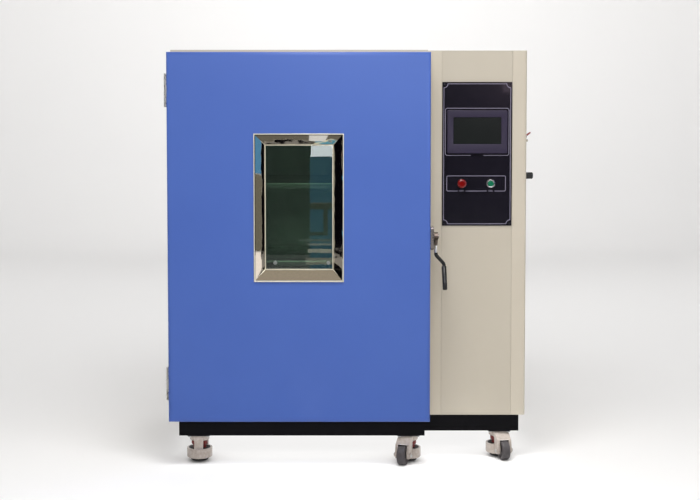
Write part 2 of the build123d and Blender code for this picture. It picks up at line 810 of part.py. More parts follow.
# Cable gland for the mains lead, low on the control cabinet's rear cover.
with BuildPart() as mains_gland:
    with BuildSketch(facing_front(rear_face + gland_nut_height)):
        with Locations((control_middle_x, gland_z)):
            RegularPolygon(gland_r + gland_nut, 6)
    extrude(amount=gland_nut_height)
    with BuildSketch(facing_front(rear_face + gland_reach)):
        with Locations((control_middle_x, gland_z)):
            Circle(gland_r)
    extrude(amount=gland_reach)
    fillet(mains_gland.faces().sort_by(Axis.Y)[-1].edges(), 3)
    with BuildSketch(facing_front(rear_face + gland_reach)):
        with Locations((control_middle_x, gland_z)):
            Circle(gland_bore_r)
    extrude(amount=gland_reach, mode=Mode.SUBTRACT)
save(mains_gland, "mains_gland")

# ---------------------------------------------------------------- side valves
# Brass bodies on the control cabinet's right side, each with the stem its handle turns on.
valve_y = panel_y + side_valve_back
valve_face = control_right + valve_body_reach
vent_stem_end = control_right + vent_reach - 8
isolation_stem_end = valve_face + 8

with BuildPart() as valve_bodies:
    with BuildSketch(facing_right(control_right)):
        with Locations((valve_y, vent_z), (valve_y, isolation_z)):
            RegularPolygon(valve_body_r, 6)
    extrude(amount=valve_body_reach)
    with BuildSketch(facing_right(control_right - sheet - 12)):
        with Locations((valve_y, vent_z)):
            Circle(valve_stem_r)
    extrude(amount=vent_stem_end - control_right + sheet + 12)
    with BuildSketch(facing_right(control_right - sheet - 12)):
        with Locations((valve_y, isolation_z)):
            Circle(valve_stem_r)
    extrude(amount=isolation_stem_end - control_right + sheet + 12)
save(valve_bodies, "valve_bodies")

with BuildPart() as vent_knob:
    with BuildSketch(facing_right(valve_face + loose)):
        with Locations((valve_y, vent_z)):
            Circle(vent_knob_r)
            with PolarLocations(vent_knob_r + 1.0, 12):
                Circle(1.8, mode=Mode.SUBTRACT)
    extrude(amount=control_right + vent_reach - valve_face - loose - vent_cap)
    with BuildSketch(facing_right(control_right + vent_reach - vent_cap)):
        with Locations((valve_y, vent_z)):
            Circle(vent_knob_r - 2)
    extrude(amount=vent_cap)
    with BuildSketch(facing_right(valve_face + loose)):
        with Locations((valve_y, vent_z)):
            Circle(valve_stem_r + running)
    extrude(amount=vent_stem_end - valve_face, mode=Mode.SUBTRACT)
save(vent_knob, "vent_knob")

# Sheet lever of the isolation valve: a hub plate on the stem, upright, with its tip bent out.
lever_x = valve_face + loose
tip_x = control_right + isolation_lever_reach
bend_z = isolation_z + 0.55 * isolation_lever_rise

with BuildPart() as isolation_lever:
    with BuildSketch(facing_right(lever_x)):
        with Locations((valve_y, isolation_z)):
            Circle(isolation_lever_width * 0.8)
    extrude(amount=isolation_lever_sheet)
    with BuildSketch(facing_front(valve_y + isolation_lever_width / 2)):
        with BuildLine():
            Polyline(
                (lever_x, isolation_z),
                (lever_x + isolation_lever_sheet, isolation_z),
                (lever_x + isolation_lever_sheet, isolation_z + 4),
                (lever_x + 2 * isolation_lever_sheet, bend_z),
                (tip_x, isolation_z + isolation_lever_rise - 2),
                (tip_x - 2, isolation_z + isolation_lever_rise),
                (lever_x + isolation_lever_sheet, bend_z),
                (lever_x, isolation_z + 4),
                close=True,
            )
        make_face()
    extrude(amount=isolation_lever_width)
    with BuildSketch(facing_right(lever_x)):
        with Locations((valve_y, isolation_z)):
            Circle(valve_stem_r + running)
    extrude(amount=isolation_lever_sheet, mode=Mode.SUBTRACT)
save(isolation_lever, "isolation_lever")

# ---------------------------------------------------------------- door
def door_block(shrink):
    """The door's outer form with its rolled front edges, shrunk by a sheet thickness."""
    with BuildPart() as block:
        with BuildSketch(facing_front(door_back)):
            with Locations((door_x, door_middle_z)):
                Rectangle(door_width - 2 * shrink, door_height - 2 * shrink)
        extrude(amount=door_depth - shrink)
        fillet(block.faces().sort_by(Axis.Y)[0].edges(), door_edge_r - shrink)
    return block.part


with BuildPart() as door_skin:
    add(door_block(0))
    add(door_block(door_sheet), mode=Mode.SUBTRACT)
    with BuildSketch(facing_front(door_front + door_sheet)):
        with Locations((door_x, window_z)):
            Rectangle(bezel_width - 4, bezel_height - 4)
    extrude(amount=door_sheet, mode=Mode.SUBTRACT)
save(door_skin, "door_skin")

# Polished window frame: a rim on the door, mitred slopes and a lip against the outer glass.
bezel_front = door_front - bezel_proud
bezel_back = bezel_front + bezel_depth
slope_width = bezel_width - 8
slope_height = bezel_height - 8

with BuildPart() as window_bezel:
    with BuildSketch(facing_front(door_front)):
        with Locations((door_x, window_z)):
            Rectangle(bezel_width, bezel_height)
    extrude(amount=bezel_proud)
    with BuildSketch(facing_front(door_front)):
        with Locations((door_x, window_z)):
            Rectangle(slope_width, slope_height)
    with BuildSketch(facing_front(bezel_back)):
        with Locations((door_x, window_z)):
            Rectangle(window_width + 4 * bezel_sheet, window_height + 4 * bezel_sheet)
    loft()
    with BuildSketch(facing_front(bezel_front)):
        with Locations((door_x, window_z)):
            Rectangle(slope_width - 2 * bezel_sheet, slope_height - 2 * bezel_sheet)
    with BuildSketch(facing_front(bezel_back)):
        with Locations((door_x, window_z)):
            Rectangle(window_width, window_height)
    loft(mode=Mode.SUBTRACT)
save(window_bezel, "window_bezel")

# Outer glass behind the frame, then the thick sight glass against the liner.
outer_glass_back = bezel_back + outer_glass_thickness
liner_front = door_back - sheet
glass_width = window_width + 2 * glass_overlap
glass_height = window_height + 2 * glass_overlap
channel_width = glass_width + 2 * glass_channel
channel_height = glass_height + 2 * glass_channel

with BuildPart() as outer_glass:
    with BuildSketch(facing_front(outer_glass_back)):
        with Locations((door_x, window_z)):
            RectangleRounded(glass_width, glass_height, 2)
    extrude(amount=outer_glass_thickness)
save(outer_glass, "outer_glass")

with BuildPart() as sight_glass:
    with BuildSketch(facing_front(liner_front)):
        with Locations((door_x, window_z)):
            RectangleRounded(glass_width, glass_height, 2)
    extrude(amount=sight_glass_thickness)
save(sight_glass, "sight_glass")

# Inner liner of the door with the raised channel that holds both glasses.
with BuildPart() as door_liner:
    with BuildSketch(facing_front(door_back)):
        with Locations((door_x, door_middle_z)):
            Rectangle(
                door_width - 2 * door_sheet - 2 * loose,
                door_height - 2 * door_sheet - 2 * loose,
            )
    extrude(amount=sheet)
    with BuildSketch(facing_front(liner_front)):
        with Locations((door_x, window_z)):
            RectangleRounded(channel_width, channel_height, 6)
    extrude(amount=liner_front - bezel_back)
    with BuildSketch(facing_front(liner_front)):
        with Locations((door_x, window_z)):
            Rectangle(glass_width + seat, glass_height + seat)
    extrude(amount=liner_front - bezel_back, mode=Mode.SUBTRACT)
    with BuildSketch(facing_front(door_back)):
        with Locations((door_x, window_z)):
            Rectangle(window_width, window_height)
    extrude(amount=sheet, mode=Mode.SUBTRACT)
save(door_liner, "door_liner")

with BuildPart() as door_insulation:
    with BuildSketch(facing_front(liner_front - loose)):
        with Locations((door_x, door_middle_z)):
            RectangleRounded(
                door_width - 2 * door_sheet - 4 * loose,
                door_height - 2 * door_sheet - 4 * loose,
                2,
            )
        with Locations((door_x, window_z)):
            Rectangle(
                max(channel_width, bezel_width) + 2 * seat,
                max(channel_height, bezel_height) + 2 * seat,
                mode=Mode.SUBTRACT,
            )
    extrude(amount=door_depth - door_edge_r - sheet - loose)
save(door_insulation, "door_insulation")

# ---------------------------------------------------------------- hinges
# Two lift-off hinges: outer knuckles on the cabinet's side, middle knuckle on the door's edge.
hinge_x = door_x - door_width / 2 - hinge_r - loose
hinge_y = door_back + 3.0
knuckle = hinge_height / 3
hinge_centres = (hinge_low_z, hinge_high_z)
chamber_left = door_x - chamber_half
door_left = door_x - door_width / 2

with BuildPart() as hinge_fixed_leaves:
    for centre_z in hinge_centres:
        for knuckle_z in (centre_z - hinge_height / 2, centre_z + hinge_height / 2 - knuckle):
            with BuildSketch(Plane.XY.offset(knuckle_z)):
                with BuildLine():
                    Polyline(
                        (hinge_x - 2, hinge_y + 3),
                        (hinge_x + 2, hinge_y + 1),
                        (chamber_left, chamber_front + 5),
                        (chamber_left, chamber_front + hinge_leaf_width),
                        (chamber_left - hinge_leaf, chamber_front + hinge_leaf_width),
                        (chamber_left - hinge_leaf, chamber_front + 10),
                        close=True,
                    )
                make_face()
                with Locations((hinge_x, hinge_y)):
                    Circle(hinge_r)
                    Circle(hinge_pin_r + running, mode=Mode.SUBTRACT)
            extrude(amount=knuckle - loose)
        with Locations(
            (
                chamber_left - hinge_leaf / 2,
                chamber_front + (hinge_leaf_width + 20) / 2,
                centre_z,
            )
        ):
            Box(hinge_leaf, hinge_leaf_width - 20, hinge_height)
save(hinge_fixed_leaves, "hinge_fixed_leaves")

with BuildPart() as hinge_pins:
    for centre_z in hinge_centres:
        with BuildSketch(Plane.XY.offset(centre_z - hinge_height / 2)):
            with Locations((hinge_x, hinge_y)):
                Circle(hinge_pin_r)
        extrude(amount=hinge_height)
        with BuildSketch(Plane.XY.offset(centre_z + hinge_height / 2)):
            with Locations((hinge_x, hinge_y)):
                Circle(hinge_r - 0.5)
        extrude(amount=3)
save(hinge_pins, "hinge_pins")

with BuildPart() as hinge_door_leaves:
    for centre_z in hinge_centres:
        with BuildSketch(Plane.XY.offset(centre_z - knuckle / 2)):
            with Locations((hinge_x, hinge_y)):
                Circle(hinge_r)
            with BuildLine():
                Polyline(
                    (hinge_x - 2, hinge_y - 3),
                    (door_left - hinge_leaf, hinge_y - hinge_leaf_width),
                    (door_left, hinge_y - hinge_leaf_width),
                    (door_left, hinge_y - 3),
                    (hinge_x + 2, hinge_y - 1),
                    close=True,
                )
            make_face()
            with Locations((hinge_x, hinge_y)):
                Circle(hinge_pin_r + running, mode=Mode.SUBTRACT)
        extrude(amount=knuckle - loose)
save(hinge_door_leaves, "hinge_door_leaves")

# ---------------------------------------------------------------- latch
door_right = door_x + door_width / 2
latch_y = door_back - latch_plate_depth / 2 - 6.0
latch_face = door_right + latch_plate
hub_start = latch_face + loose
hub_end = hub_start + latch_hub_width
rod_x = (hub_start + hub_end) / 2
grip_end_z = latch_z - lever_drop
crank_top_z = latch_z - lever_crank_top
crank_bottom_z = crank_top_z - lever_crank_drop
grip_x = rod_x + lever_crank_reach
nose_reach = latch_hub_r + 13.0

with BuildPart() as latch_base:
    with BuildSketch(facing_right(door_right)):
        with Locations((latch_y, latch_z - latch_plate_drop)):
            RectangleRounded(latch_plate_depth, latch_plate_height, 5)
    extrude(amount=latch_plate)
    fillet(latch_base.faces().sort_by(Axis.X)[-1].edges(), 2)
    with BuildSketch(facing_right(latch_face)):
        with Locations((latch_y, latch_z)):
            Circle(latch_pin_r)
    extrude(amount=latch_hub_width + 2 * loose)
    with BuildSketch(facing_right(hub_end + loose)):
        with Locations((latch_y, latch_z)):
            Circle(latch_pin_r + 3)
    extrude(amount=2.5)
save(latch_base, "latch_base")

lever_front = facing_front(latch_y)

with BuildPart() as latch_lever:
    with BuildSketch(facing_right(hub_start)):
        with Locations((latch_y, latch_z)):
            Circle(latch_hub_r)
        with BuildLine():
            Polyline(
                (latch_y, latch_z + latch_hub_r),
                (latch_y + nose_reach - 3, latch_z + 5),
                (latch_y + nose_reach, latch_z),
                (latch_y + nose_reach - 3, latch_z - 5),
                (latch_y, latch_z - latch_hub_r),
                close=True,
            )
        make_face()
    extrude(amount=latch_hub_width)
    with BuildSketch(Plane.XY.offset(latch_z - 20)):
        with Locations((rod_x, latch_y)):
            Circle(latch_hub_width / 2 - 0.5)
    with BuildSketch(Plane.XY.offset(latch_z - 36)):
        with Locations((rod_x, latch_y)):
            Circle(lever_rod_r)
    loft()
    with BuildSketch(Plane.XY.offset(latch_z - 20)):
        with Locations((rod_x, latch_y)):
            Circle(latch_hub_width / 2 - 0.5)
    extrude(amount=14)
    with BuildLine(lever_front) as rod_path:
        FilletPolyline(
            (rod_x, latch_z - 20),
            (rod_x, crank_top_z),
            (grip_x, crank_bottom_z),
            (grip_x + lever_tilt, grip_end_z + 3),
            radius=14,
        )
    with BuildSketch(Plane.XY.offset(latch_z - 20)):
        with Locations((rod_x, latch_y)):
            Circle(lever_rod_r)
    sweep(path=rod_path.line)
    with BuildSketch(facing_right(hub_start)):
        with Locations((latch_y, latch_z)):
            Circle(latch_pin_r + running)
    extrude(amount=latch_hub_width, mode=Mode.SUBTRACT)
save(latch_lever, "latch_lever")

# Moulded grip: a thin neck over the crank and a thick straight handle below it.
grip_direction = Vector(lever_tilt, 0, grip_end_z - crank_bottom_z)
grip_start = Vector(grip_x, latch_y, crank_bottom_z) + grip_direction.normalized() * 8
grip_plane = Plane(origin=grip_start, x_dir=(0, 1, 0), z_dir=grip_direction)
grip_length = grip_direction.length - 8
neck_start_z = crank_top_z + 8.0

with BuildPart() as latch_grip:
    with BuildLine(lever_front) as neck_path:
        FilletPolyline(
            (rod_x, neck_start_z),
            (rod_x, crank_top_z),
            (grip_x, crank_bottom_z),
            (grip_x + 0.3 * lever_tilt, crank_bottom_z + 0.3 * grip_direction.Z),
            radius=14,
        )
    with BuildSketch(Plane.XY.offset(neck_start_z)):
        with Locations((rod_x, latch_y)):
            Circle(grip_neck_r)
    sweep(path=neck_path.line)
    with BuildSketch(grip_plane):
        Circle(grip_r)
    extrude(amount=grip_length)
    fillet(latch_grip.edges().filter_by(GeomType.CIRCLE).sort_by(Axis.Z)[0], 3)
    with BuildSketch(Plane.XY.offset(latch_z - 20)):
        with Locations((rod_x, latch_y)):
            Circle(lever_rod_r + running)
    sweep(path=rod_path.line, mode=Mode.SUBTRACT)
save(latch_grip, "latch_grip")

# Keeper on the chamber cabinet's right side: a plate with a strike in front of the lever's nose.
chamber_right = door_x + chamber_half
strike_front = latch_y + nose_reach + 2.0

with BuildPart() as latch_keeper:
    with BuildSketch(facing_right(chamber_right)):
        with Locations(((chamber_front + panel_y) / 2, latch_z - latch_plate_drop)):
            RectangleRounded(chamber_step - 12, keeper_height, 4)
    extrude(amount=keeper_sheet)
    with BuildSketch(Plane.XY.offset(latch_z - 8)):
        with BuildLine():
            Polyline(
                (chamber_right, chamber_front + 30),
                (chamber_right, strike_front + 8),
                (hub_start, strike_front),
                (hub_end, strike_front),
                (hub_end, strike_front + 8),
                (chamber_right + keeper_sheet + 6, chamber_front + 30),
                close=True,
            )
        make_face()
    extrude(amount=16)
save(latch_keeper, "latch_keeper")

# ---------------------------------------------------------------- levelling casters
# Each caster: kingpin, the fork's name and the way its wheel trails (degrees from +X).
casters = {
    "front_left": (base_left + caster_inset, chamber_front + caster_inset_front, 90.0),
    "front_middle": (
        base_seam - caster_inset_middle, chamber_front + caster_inset_front, -110.0
    ),
    "front_right": (
        base_right - caster_inset, base_front_right + caster_inset_front - 3, -76.5
    ),
    "rear_left": (base_left + caster_inset, chamber_back - caster_inset_front, 62.0),
    "rear_right": (base_right - caster_inset, chamber_back - caster_inset_front, 112.0),
}
plate_bottom = caster_height - caster_plate_thickness
head_top = plate_bottom - loose
head_bottom = plate_bottom - head_height
kingpin_bottom = head_bottom + 4

with BuildPart() as caster_plates:
    for x, y, trail_angle in casters.values():
        with BuildSketch(Plane.XY.offset(plate_bottom)):
            with Locations((x, y)):
                RectangleRounded(caster_plate_size, caster_plate_size, 6)
        extrude(amount=caster_plate_thickness)
        with BuildSketch(Plane.XY.offset(kingpin_bottom)):
            with Locations((x, y)):
                Circle(kingpin_r)
        extrude(amount=plate_bottom - kingpin_bottom)
save(caster_plates, "caster_plates")

axle_z = wheel_r
slot_r = wheel_r + wheel_slot_clearance
fork_half = wheel_slot / 2 + arm_thickness
thumbwheel_bottom = head_bottom - 2 - thumbwheel_thickness
foot_bottom = foot_lift
foot_top = foot_bottom + foot_thickness
stem_top = head_bottom - 2


def make_fork(place, side):
    """Swivel head, hood and arms over the wheel, and the pot round the levelling foot."""
    with BuildPart() as fork:
        with BuildSketch(place.offset(head_bottom)):
            Circle(head_r)
        extrude(amount=head_top - head_bottom)
        fillet(fork.edges().filter_by(GeomType.CIRCLE), 2.5)
        with BuildSketch(place.offset(pot_bottom)):
            Circle(pot_r)
        extrude(amount=pot_top - pot_bottom)
        fillet(fork.edges().filter_by(GeomType.CIRCLE).sort_by(Axis.Z)[0], 5)
        with BuildSketch(side.offset(-fork_half)):
            with BuildLine():
                Polyline(
                    (0, head_top - 3),
                    (0, head_bottom),
                    (thumbwheel_r + 2, head_bottom - 2),
                    (thumbwheel_r + 2, pot_top),
                    (pot_r - pot_wall, pot_bottom + 12),
                    (wheel_trail - axle_boss_r, axle_z - axle_boss_r - 3),
                    (wheel_trail + axle_boss_r, axle_z - axle_boss_r - 3),
                    (wheel_trail + axle_boss_r + 3, axle_z + axle_boss_r),
                    (wheel_trail + 4, head_bottom - 6),
                    (head_r + 8, head_top - 8),
                    (head_r - 6, head_top - 3),
                    close=True,
                )
            make_face()
        extrude(amount=2 * fork_half)
        with BuildSketch(side.offset(-strut_width / 2)):
            with BuildLine():
                Polyline(
                    (-thumbwheel_r - 1, head_top - 6),
                    (-thumbwheel_r - 1, pot_top - 4),
                    (-pot_r + 2, pot_top - 4),
                    (-head_r - 2, pot_top + 16),
                    (-head_r + 0.5, head_top - 6),
                    close=True,
                )
            make_face()
        extrude(amount=strut_width)
        with BuildSketch(side.offset(-wheel_slot / 2)):
            with Locations((wheel_trail, axle_z)):
                Circle(slot_r)
            with Locations((wheel_trail + slot_r / 2, axle_z)):
                Rectangle(slot_r, 2 * slot_r)
        extrude(amount=wheel_slot, mode=Mode.SUBTRACT)
        with BuildSketch(place.offset(pot_bottom)):
            Circle(pot_r - pot_wall)
        extrude(amount=pot_top - pot_web - pot_bottom, mode=Mode.SUBTRACT)
        with BuildSketch(place.offset(pot_top - pot_web)):
            Circle(foot_stem_r + loose)
        extrude(amount=pot_web, mode=Mode.SUBTRACT)
        with BuildSketch(place.offset(kingpin_bottom - loose)):
            Circle(kingpin_r + running)
        extrude(amount=head_top - kingpin_bottom + loose, mode=Mode.SUBTRACT)
        with BuildSketch(side.offset(-fork_half - axle_boss_height)):
            with Locations((wheel_trail, axle_z)):
                Circle(axle_boss_r)
        extrude(amount=axle_boss_height)
        with BuildSketch(side.offset(fork_half)):
            with Locations((wheel_trail, axle_z)):
                Circle(axle_boss_r)
        extrude(amount=axle_boss_height)
        with BuildSketch(side.offset(-fork_half)):
            with Locations((wheel_trail, axle_z)):
                Circle(axle_r)
        extrude(amount=2 * fork_half)
    return fork


def make_wheel(side):
    """Solid wheel with a crowned tread and recessed sides, bored for the axle."""
    half = wheel_width / 2
    with BuildPart() as wheel:
        with BuildSketch(side.offset(-half)):
            with Locations((wheel_trail, axle_z)):
                Circle(wheel_r)
        extrude(amount=wheel_width)
        fillet(wheel.edges().filter_by(GeomType.CIRCLE), 5)
        for face in (-half, half - 3):
            with BuildSketch(side.offset(face)):
                with Locations((wheel_trail, axle_z)):
                    Circle(wheel_r - 9)
                    Circle(axle_boss_r, mode=Mode.SUBTRACT)
            extrude(amount=3, mode=Mode.SUBTRACT)
        with BuildSketch(side.offset(-half)):
            with Locations((wheel_trail, axle_z)):
                Circle(axle_r + running)
        extrude(amount=wheel_width, mode=Mode.SUBTRACT)
    return wheel


def make_thumbwheel(place):
    """Toothed levelling wheel with the collar that stands on the pot's web."""
    with BuildPart() as thumbwheel:
        with BuildSketch(place.offset(thumbwheel_bottom)):
            Circle(thumbwheel_r)
            with PolarLocations(thumbwheel_r + 0.5, 18):
                Circle(2, mode=Mode.SUBTRACT)
        extrude(amount=thumbwheel_thickness)
        with BuildSketch(place.offset(pot_top + loose)):
            Circle(thumbwheel_collar_r)
        extrude(amount=thumbwheel_bottom - pot_top - loose)
        with BuildSketch(place.offset(pot_top + loose)):
            Circle(foot_stem_r + running)
        extrude(amount=head_bottom - pot_top, mode=Mode.SUBTRACT)
    return thumbwheel


def make_foot(place):
    """Rubber-soled pad on its stem; the stem runs up through the thumbwheel."""
    with BuildPart() as foot:
        with BuildSketch(place.offset(foot_bottom)):
            Circle(foot_r)
        extrude(amount=foot_thickness)
        chamfer(foot.edges().filter_by(GeomType.CIRCLE), 1.5)
        with BuildSketch(place.offset(foot_top)):
            Circle(foot_stem_r)
        extrude(amount=stem_top - foot_top)
    return foot


for caster_name, (x, y, trail_angle) in casters.items():
    trail = Vector(cos(radians(trail_angle)), sin(radians(trail_angle)), 0)
    place = Plane(origin=(x, y, 0), x_dir=trail, z_dir=(0, 0, 1))
    side = Plane(origin=(x, y, 0), x_dir=trail, z_dir=-place.y_dir)
    save(make_fork(place, side), f"{caster_name}_caster_fork")
    save(make_wheel(side), f"{caster_name}_caster_wheel")
    save(make_thumbwheel(place), f"{caster_name}_caster_thumbwheel")
    save(make_foot(place), f"{caster_name}_caster_foot")
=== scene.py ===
"""Vacuum oven: the finish of every piece, and the small fittings that the solids leave out.

The file follows the oven as it is put together, from the base frame up.  All lengths are metres,
in the frame of the solids; MM turns a workshop size into them.
"""

import json
from math import atan2, cos, pi, radians, sin

import bmesh
import bpy
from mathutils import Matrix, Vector

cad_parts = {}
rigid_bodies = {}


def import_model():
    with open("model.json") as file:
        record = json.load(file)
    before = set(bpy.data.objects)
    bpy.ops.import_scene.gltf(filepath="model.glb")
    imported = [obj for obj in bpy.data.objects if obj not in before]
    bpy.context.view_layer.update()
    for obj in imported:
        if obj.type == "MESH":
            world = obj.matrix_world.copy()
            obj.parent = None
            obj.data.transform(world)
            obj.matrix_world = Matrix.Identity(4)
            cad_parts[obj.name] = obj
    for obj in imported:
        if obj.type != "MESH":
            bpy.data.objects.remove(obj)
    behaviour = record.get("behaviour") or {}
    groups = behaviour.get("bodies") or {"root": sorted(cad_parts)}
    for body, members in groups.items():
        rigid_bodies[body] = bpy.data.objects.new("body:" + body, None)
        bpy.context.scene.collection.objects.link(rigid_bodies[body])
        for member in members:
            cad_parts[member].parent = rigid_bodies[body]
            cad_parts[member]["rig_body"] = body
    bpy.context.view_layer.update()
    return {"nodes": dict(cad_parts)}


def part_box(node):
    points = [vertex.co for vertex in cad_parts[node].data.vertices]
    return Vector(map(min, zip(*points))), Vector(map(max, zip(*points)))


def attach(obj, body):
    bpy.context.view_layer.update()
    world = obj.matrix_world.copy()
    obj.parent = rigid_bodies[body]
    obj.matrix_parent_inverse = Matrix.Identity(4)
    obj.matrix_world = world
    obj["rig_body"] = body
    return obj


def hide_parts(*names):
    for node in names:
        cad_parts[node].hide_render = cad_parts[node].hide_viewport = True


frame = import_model()
nodes = frame["nodes"]
MM = 0.001

# ---------------------------------------------------------------- studio
# A round paper cove under and behind the oven, lit by large soft boxes.  Flags and cards that only
# polished surfaces see stand round it, as they do for a catalogue picture of bright metal.


def linear(colour, alpha=1.0):
    """Linear RGBA of an sRGB hex colour such as "546FB9"."""
    parts = [int(colour[i:i + 2], 16) / 255 for i in (0, 2, 4)]
    return [p / 12.92 if p <= 0.04045 else ((p + 0.055) / 1.055) ** 2.4 for p in parts] + [alpha]


def add_node(tree, kind, inputs=None, **settings):
    """Adds a node with its settings; each input is a value or the socket that feeds it."""
    node = tree.nodes.new(kind)
    for name, value in settings.items():
        setattr(node, name, value)
    for name, value in (inputs or {}).items():
        if isinstance(value, bpy.types.NodeSocket):
            tree.links.new(value, node.inputs[name])
        else:
            node.inputs[name].default_value = value
    return node


def new_tree(name):
    """An empty material and its node tree, with the surface output in place."""
    material = bpy.data.materials.new(name)
    material.use_nodes = True
    tree = material.node_tree
    tree.nodes.clear()
    return material, tree, add_node(tree, "ShaderNodeOutputMaterial")


def noise(tree, lump_mm, detail, **inputs):
    """Fractal noise in object space whose lumps are lump_mm across."""
    place = add_node(tree, "ShaderNodeTexCoord")
    return add_node(tree, "ShaderNodeTexNoise", {
        "Vector": place.outputs["Object"], "Scale": 1 / (lump_mm * MM), "Detail": detail, **inputs,
    }).outputs[0]


def blend(tree, factor, start, end):
    """The colour between two others; each is an sRGB hex colour or a socket."""
    start, end = [linear(end) if isinstance(end, str) else end for end in (start, end)]
    return add_node(
        tree, "ShaderNodeMix", {0: factor, 6: start, 7: end}, data_type="RGBA"
    ).outputs[2]


def ranged(tree, value, low, high, **span):
    """A value from 0 to 1 spread from low to high."""
    return add_node(
        tree, "ShaderNodeMapRange", {"Value": value, "To Min": low, "To Max": high, **span}
    ).outputs[0]


def bumped(tree, height, depth_mm, strength=1.0):
    """Relief of depth_mm from a height."""
    return add_node(tree, "ShaderNodeBump", {
        "Height": height, "Distance": depth_mm * MM, "Strength": strength,
    }).outputs[0]


def finished(material, tree, surface, **inputs):
    """Closes a material with its shader and returns it."""
    shader = add_node(tree, "ShaderNodeBsdfPrincipled", inputs)
    tree.links.new(shader.outputs[0], surface.inputs[0])
    return material


def middle(name):
    """The middle of a solid's box."""
    low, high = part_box(name)
    return (low + high) / 2


def turns(count):
    """Angles of count steps round a circle."""
    return [i / count * 2 * pi for i in range(count)]


def loft(bm, rings, closed=False, capped=True):
    """Faces from each ring of vertices to the next; capped fills both end rings."""
    pairs = list(zip(rings, rings[1:])) + ([(rings[-1], rings[0])] if closed else [])
    for first, second in pairs:
        for i in range(len(first)):
            j = (i + 1) % len(first)
            bm.faces.new((first[i], first[j], second[j], second[i]))
    if capped:
        bm.faces.new(rings[0])
        bm.faces.new(rings[-1])


def new_object(name, data):
    """An object in the scene that shows the data."""
    thing = bpy.data.objects.new(name, data)
    bpy.context.scene.collection.objects.link(thing)
    return thing


def as_object(name, bm, material, smooth=False, crease=30):
    """Turns a bmesh into an object at the origin that shows one material."""
    bmesh.ops.recalc_face_normals(bm, faces=bm.faces[:])
    mesh = bpy.data.meshes.new(name)
    bm.to_mesh(mesh)
    bm.free()
    if smooth:
        mesh.polygons.foreach_set("use_smooth", [True] * len(mesh.polygons))
        mesh.set_sharp_from_angle(angle=radians(crease))
    mesh.materials.append(material)
    return new_object(name, mesh)


material, tree, surface = new_tree("backdrop_paper")
fibre_mm = 1000 / 90
tooth = bumped(tree, noise(tree, fibre_mm, 3.0), 0.2, 0.4)
backdrop_paper = finished(material, tree, surface, **{
    "Base Color": linear("FAF9F8"), "Roughness": 0.95, "Specular IOR Level": 0.1,
    "Normal": tooth,
})

cove_floor = 6.4
cove_radius = 2.4
cove_height = 8.0
cove_sides = 96
cove_steps = 12
cove_profile = [(0.02, 0.0), (cove_floor, 0.0)]
for step in range(1, cove_steps + 1):
    turn = step / cove_steps * pi / 2
    cove_profile.append((
        cove_floor + cove_radius * sin(turn), cove_radius - cove_radius * cos(turn)
    ))
cove_profile.append((cove_floor + cove_radius, cove_height))
bm = bmesh.new()
rings = [
    [bm.verts.new((reach * cos(turn), reach * sin(turn), z)) for turn in turns(cove_sides)]
    for reach, z in cove_profile
]
bm.faces.new(rings[0])
loft(bm, rings, capped=False)
cove = as_object("studio_cove", bm, backdrop_paper, smooth=True, crease=60)

camera_height = 1.184
camera_distance = 4.5
focal_pixels = 1376.0
picture_width = 700.0
pitch_pixels = 80.0
shift_pixels = 69.0
camera_from_door = 0.1635
panel_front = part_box("control_front_panel")[0].y
door_x = middle("door_skin").x

camera_data = bpy.data.cameras.new("camera")
camera_data.lens = focal_pixels / picture_width * camera_data.sensor_width
camera_data.shift_y = -shift_pixels / picture_width
camera_data.clip_end = 60.0
camera = new_object("camera", camera_data)
camera.location = (door_x + camera_from_door, panel_front - camera_distance, camera_height)
camera.rotation_euler = (pi / 2 - atan2(pitch_pixels, focal_pixels), 0, 0)
bpy.context.scene.camera = camera


def soft_box(name, place, aim, width, height, power, spread=180):
    """A rectangular softbox at place that faces aim; spread is the angle its grid lets out."""
    light = bpy.data.lights.new(name, "AREA")
    light.shape = "RECTANGLE"
    light.size = width
    light.size_y = height
    light.energy = power
    light.spread = radians(spread)
    lamp = new_object(name, light)
    lamp.location = place
    lamp.rotation_euler = (Vector(aim) - Vector(place)).to_track_quat("-Z", "Y").to_euler()


soft_box("ceiling_box", (0.0, -1.9, 3.7), (0, -0.4, 0.6), 1.9, 1.6, 58)
soft_box("floor_box", (0.0, -1.25, 2.6), (0, -1.0, 0.0), 1.0, 0.5, 5, 75)
soft_box("front_box", (0.4, -5.6, 2.8), (0, 0, 0.9), 2.4, 1.2, 60)
soft_box("left_box", (-3.8, -3.4, 2.4), (0, -0.2, 0.8), 2.2, 2.6, 7)
soft_box("right_box", (3.6, -3.0, 2.2), (0.1, 0, 0.8), 1.8, 2.4, 14)
soft_box("under_box", (0.0, 0.0, 0.088), (0, 0.0, 0.0), 1.16, 0.84, 2.9)
soft_box("rear_box", (0.3, 3.4, 4.2), (0, 0.4, 0.6), 3.0, 1.8, 60)
soft_box("paper_box", (0.0, 4.0, 4.2), (0, 8.8, 2.6), 1.4, 0.8, 40, 110)
soft_box("paper_box_left", (-4.2, 2.8, 5.0), (-3.2, 8.4, 2.4), 1.6, 1.0, 62)
soft_box("paper_box_right", (4.2, 2.8, 5.0), (3.2, 8.4, 2.4), 1.6, 1.0, 62)

world = bpy.data.worlds.new("studio_world")
world.use_nodes = True
tree = world.node_tree
tree.nodes.clear()
sky = add_node(tree, "ShaderNodeBackground", {"Color": linear("F4F5F7"), "Strength": 0.28})
add_node(tree, "ShaderNodeOutputWorld", {"Surface": sky.outputs[0]})
bpy.context.scene.world = world
bpy.context.scene.view_settings.view_transform = "Standard"


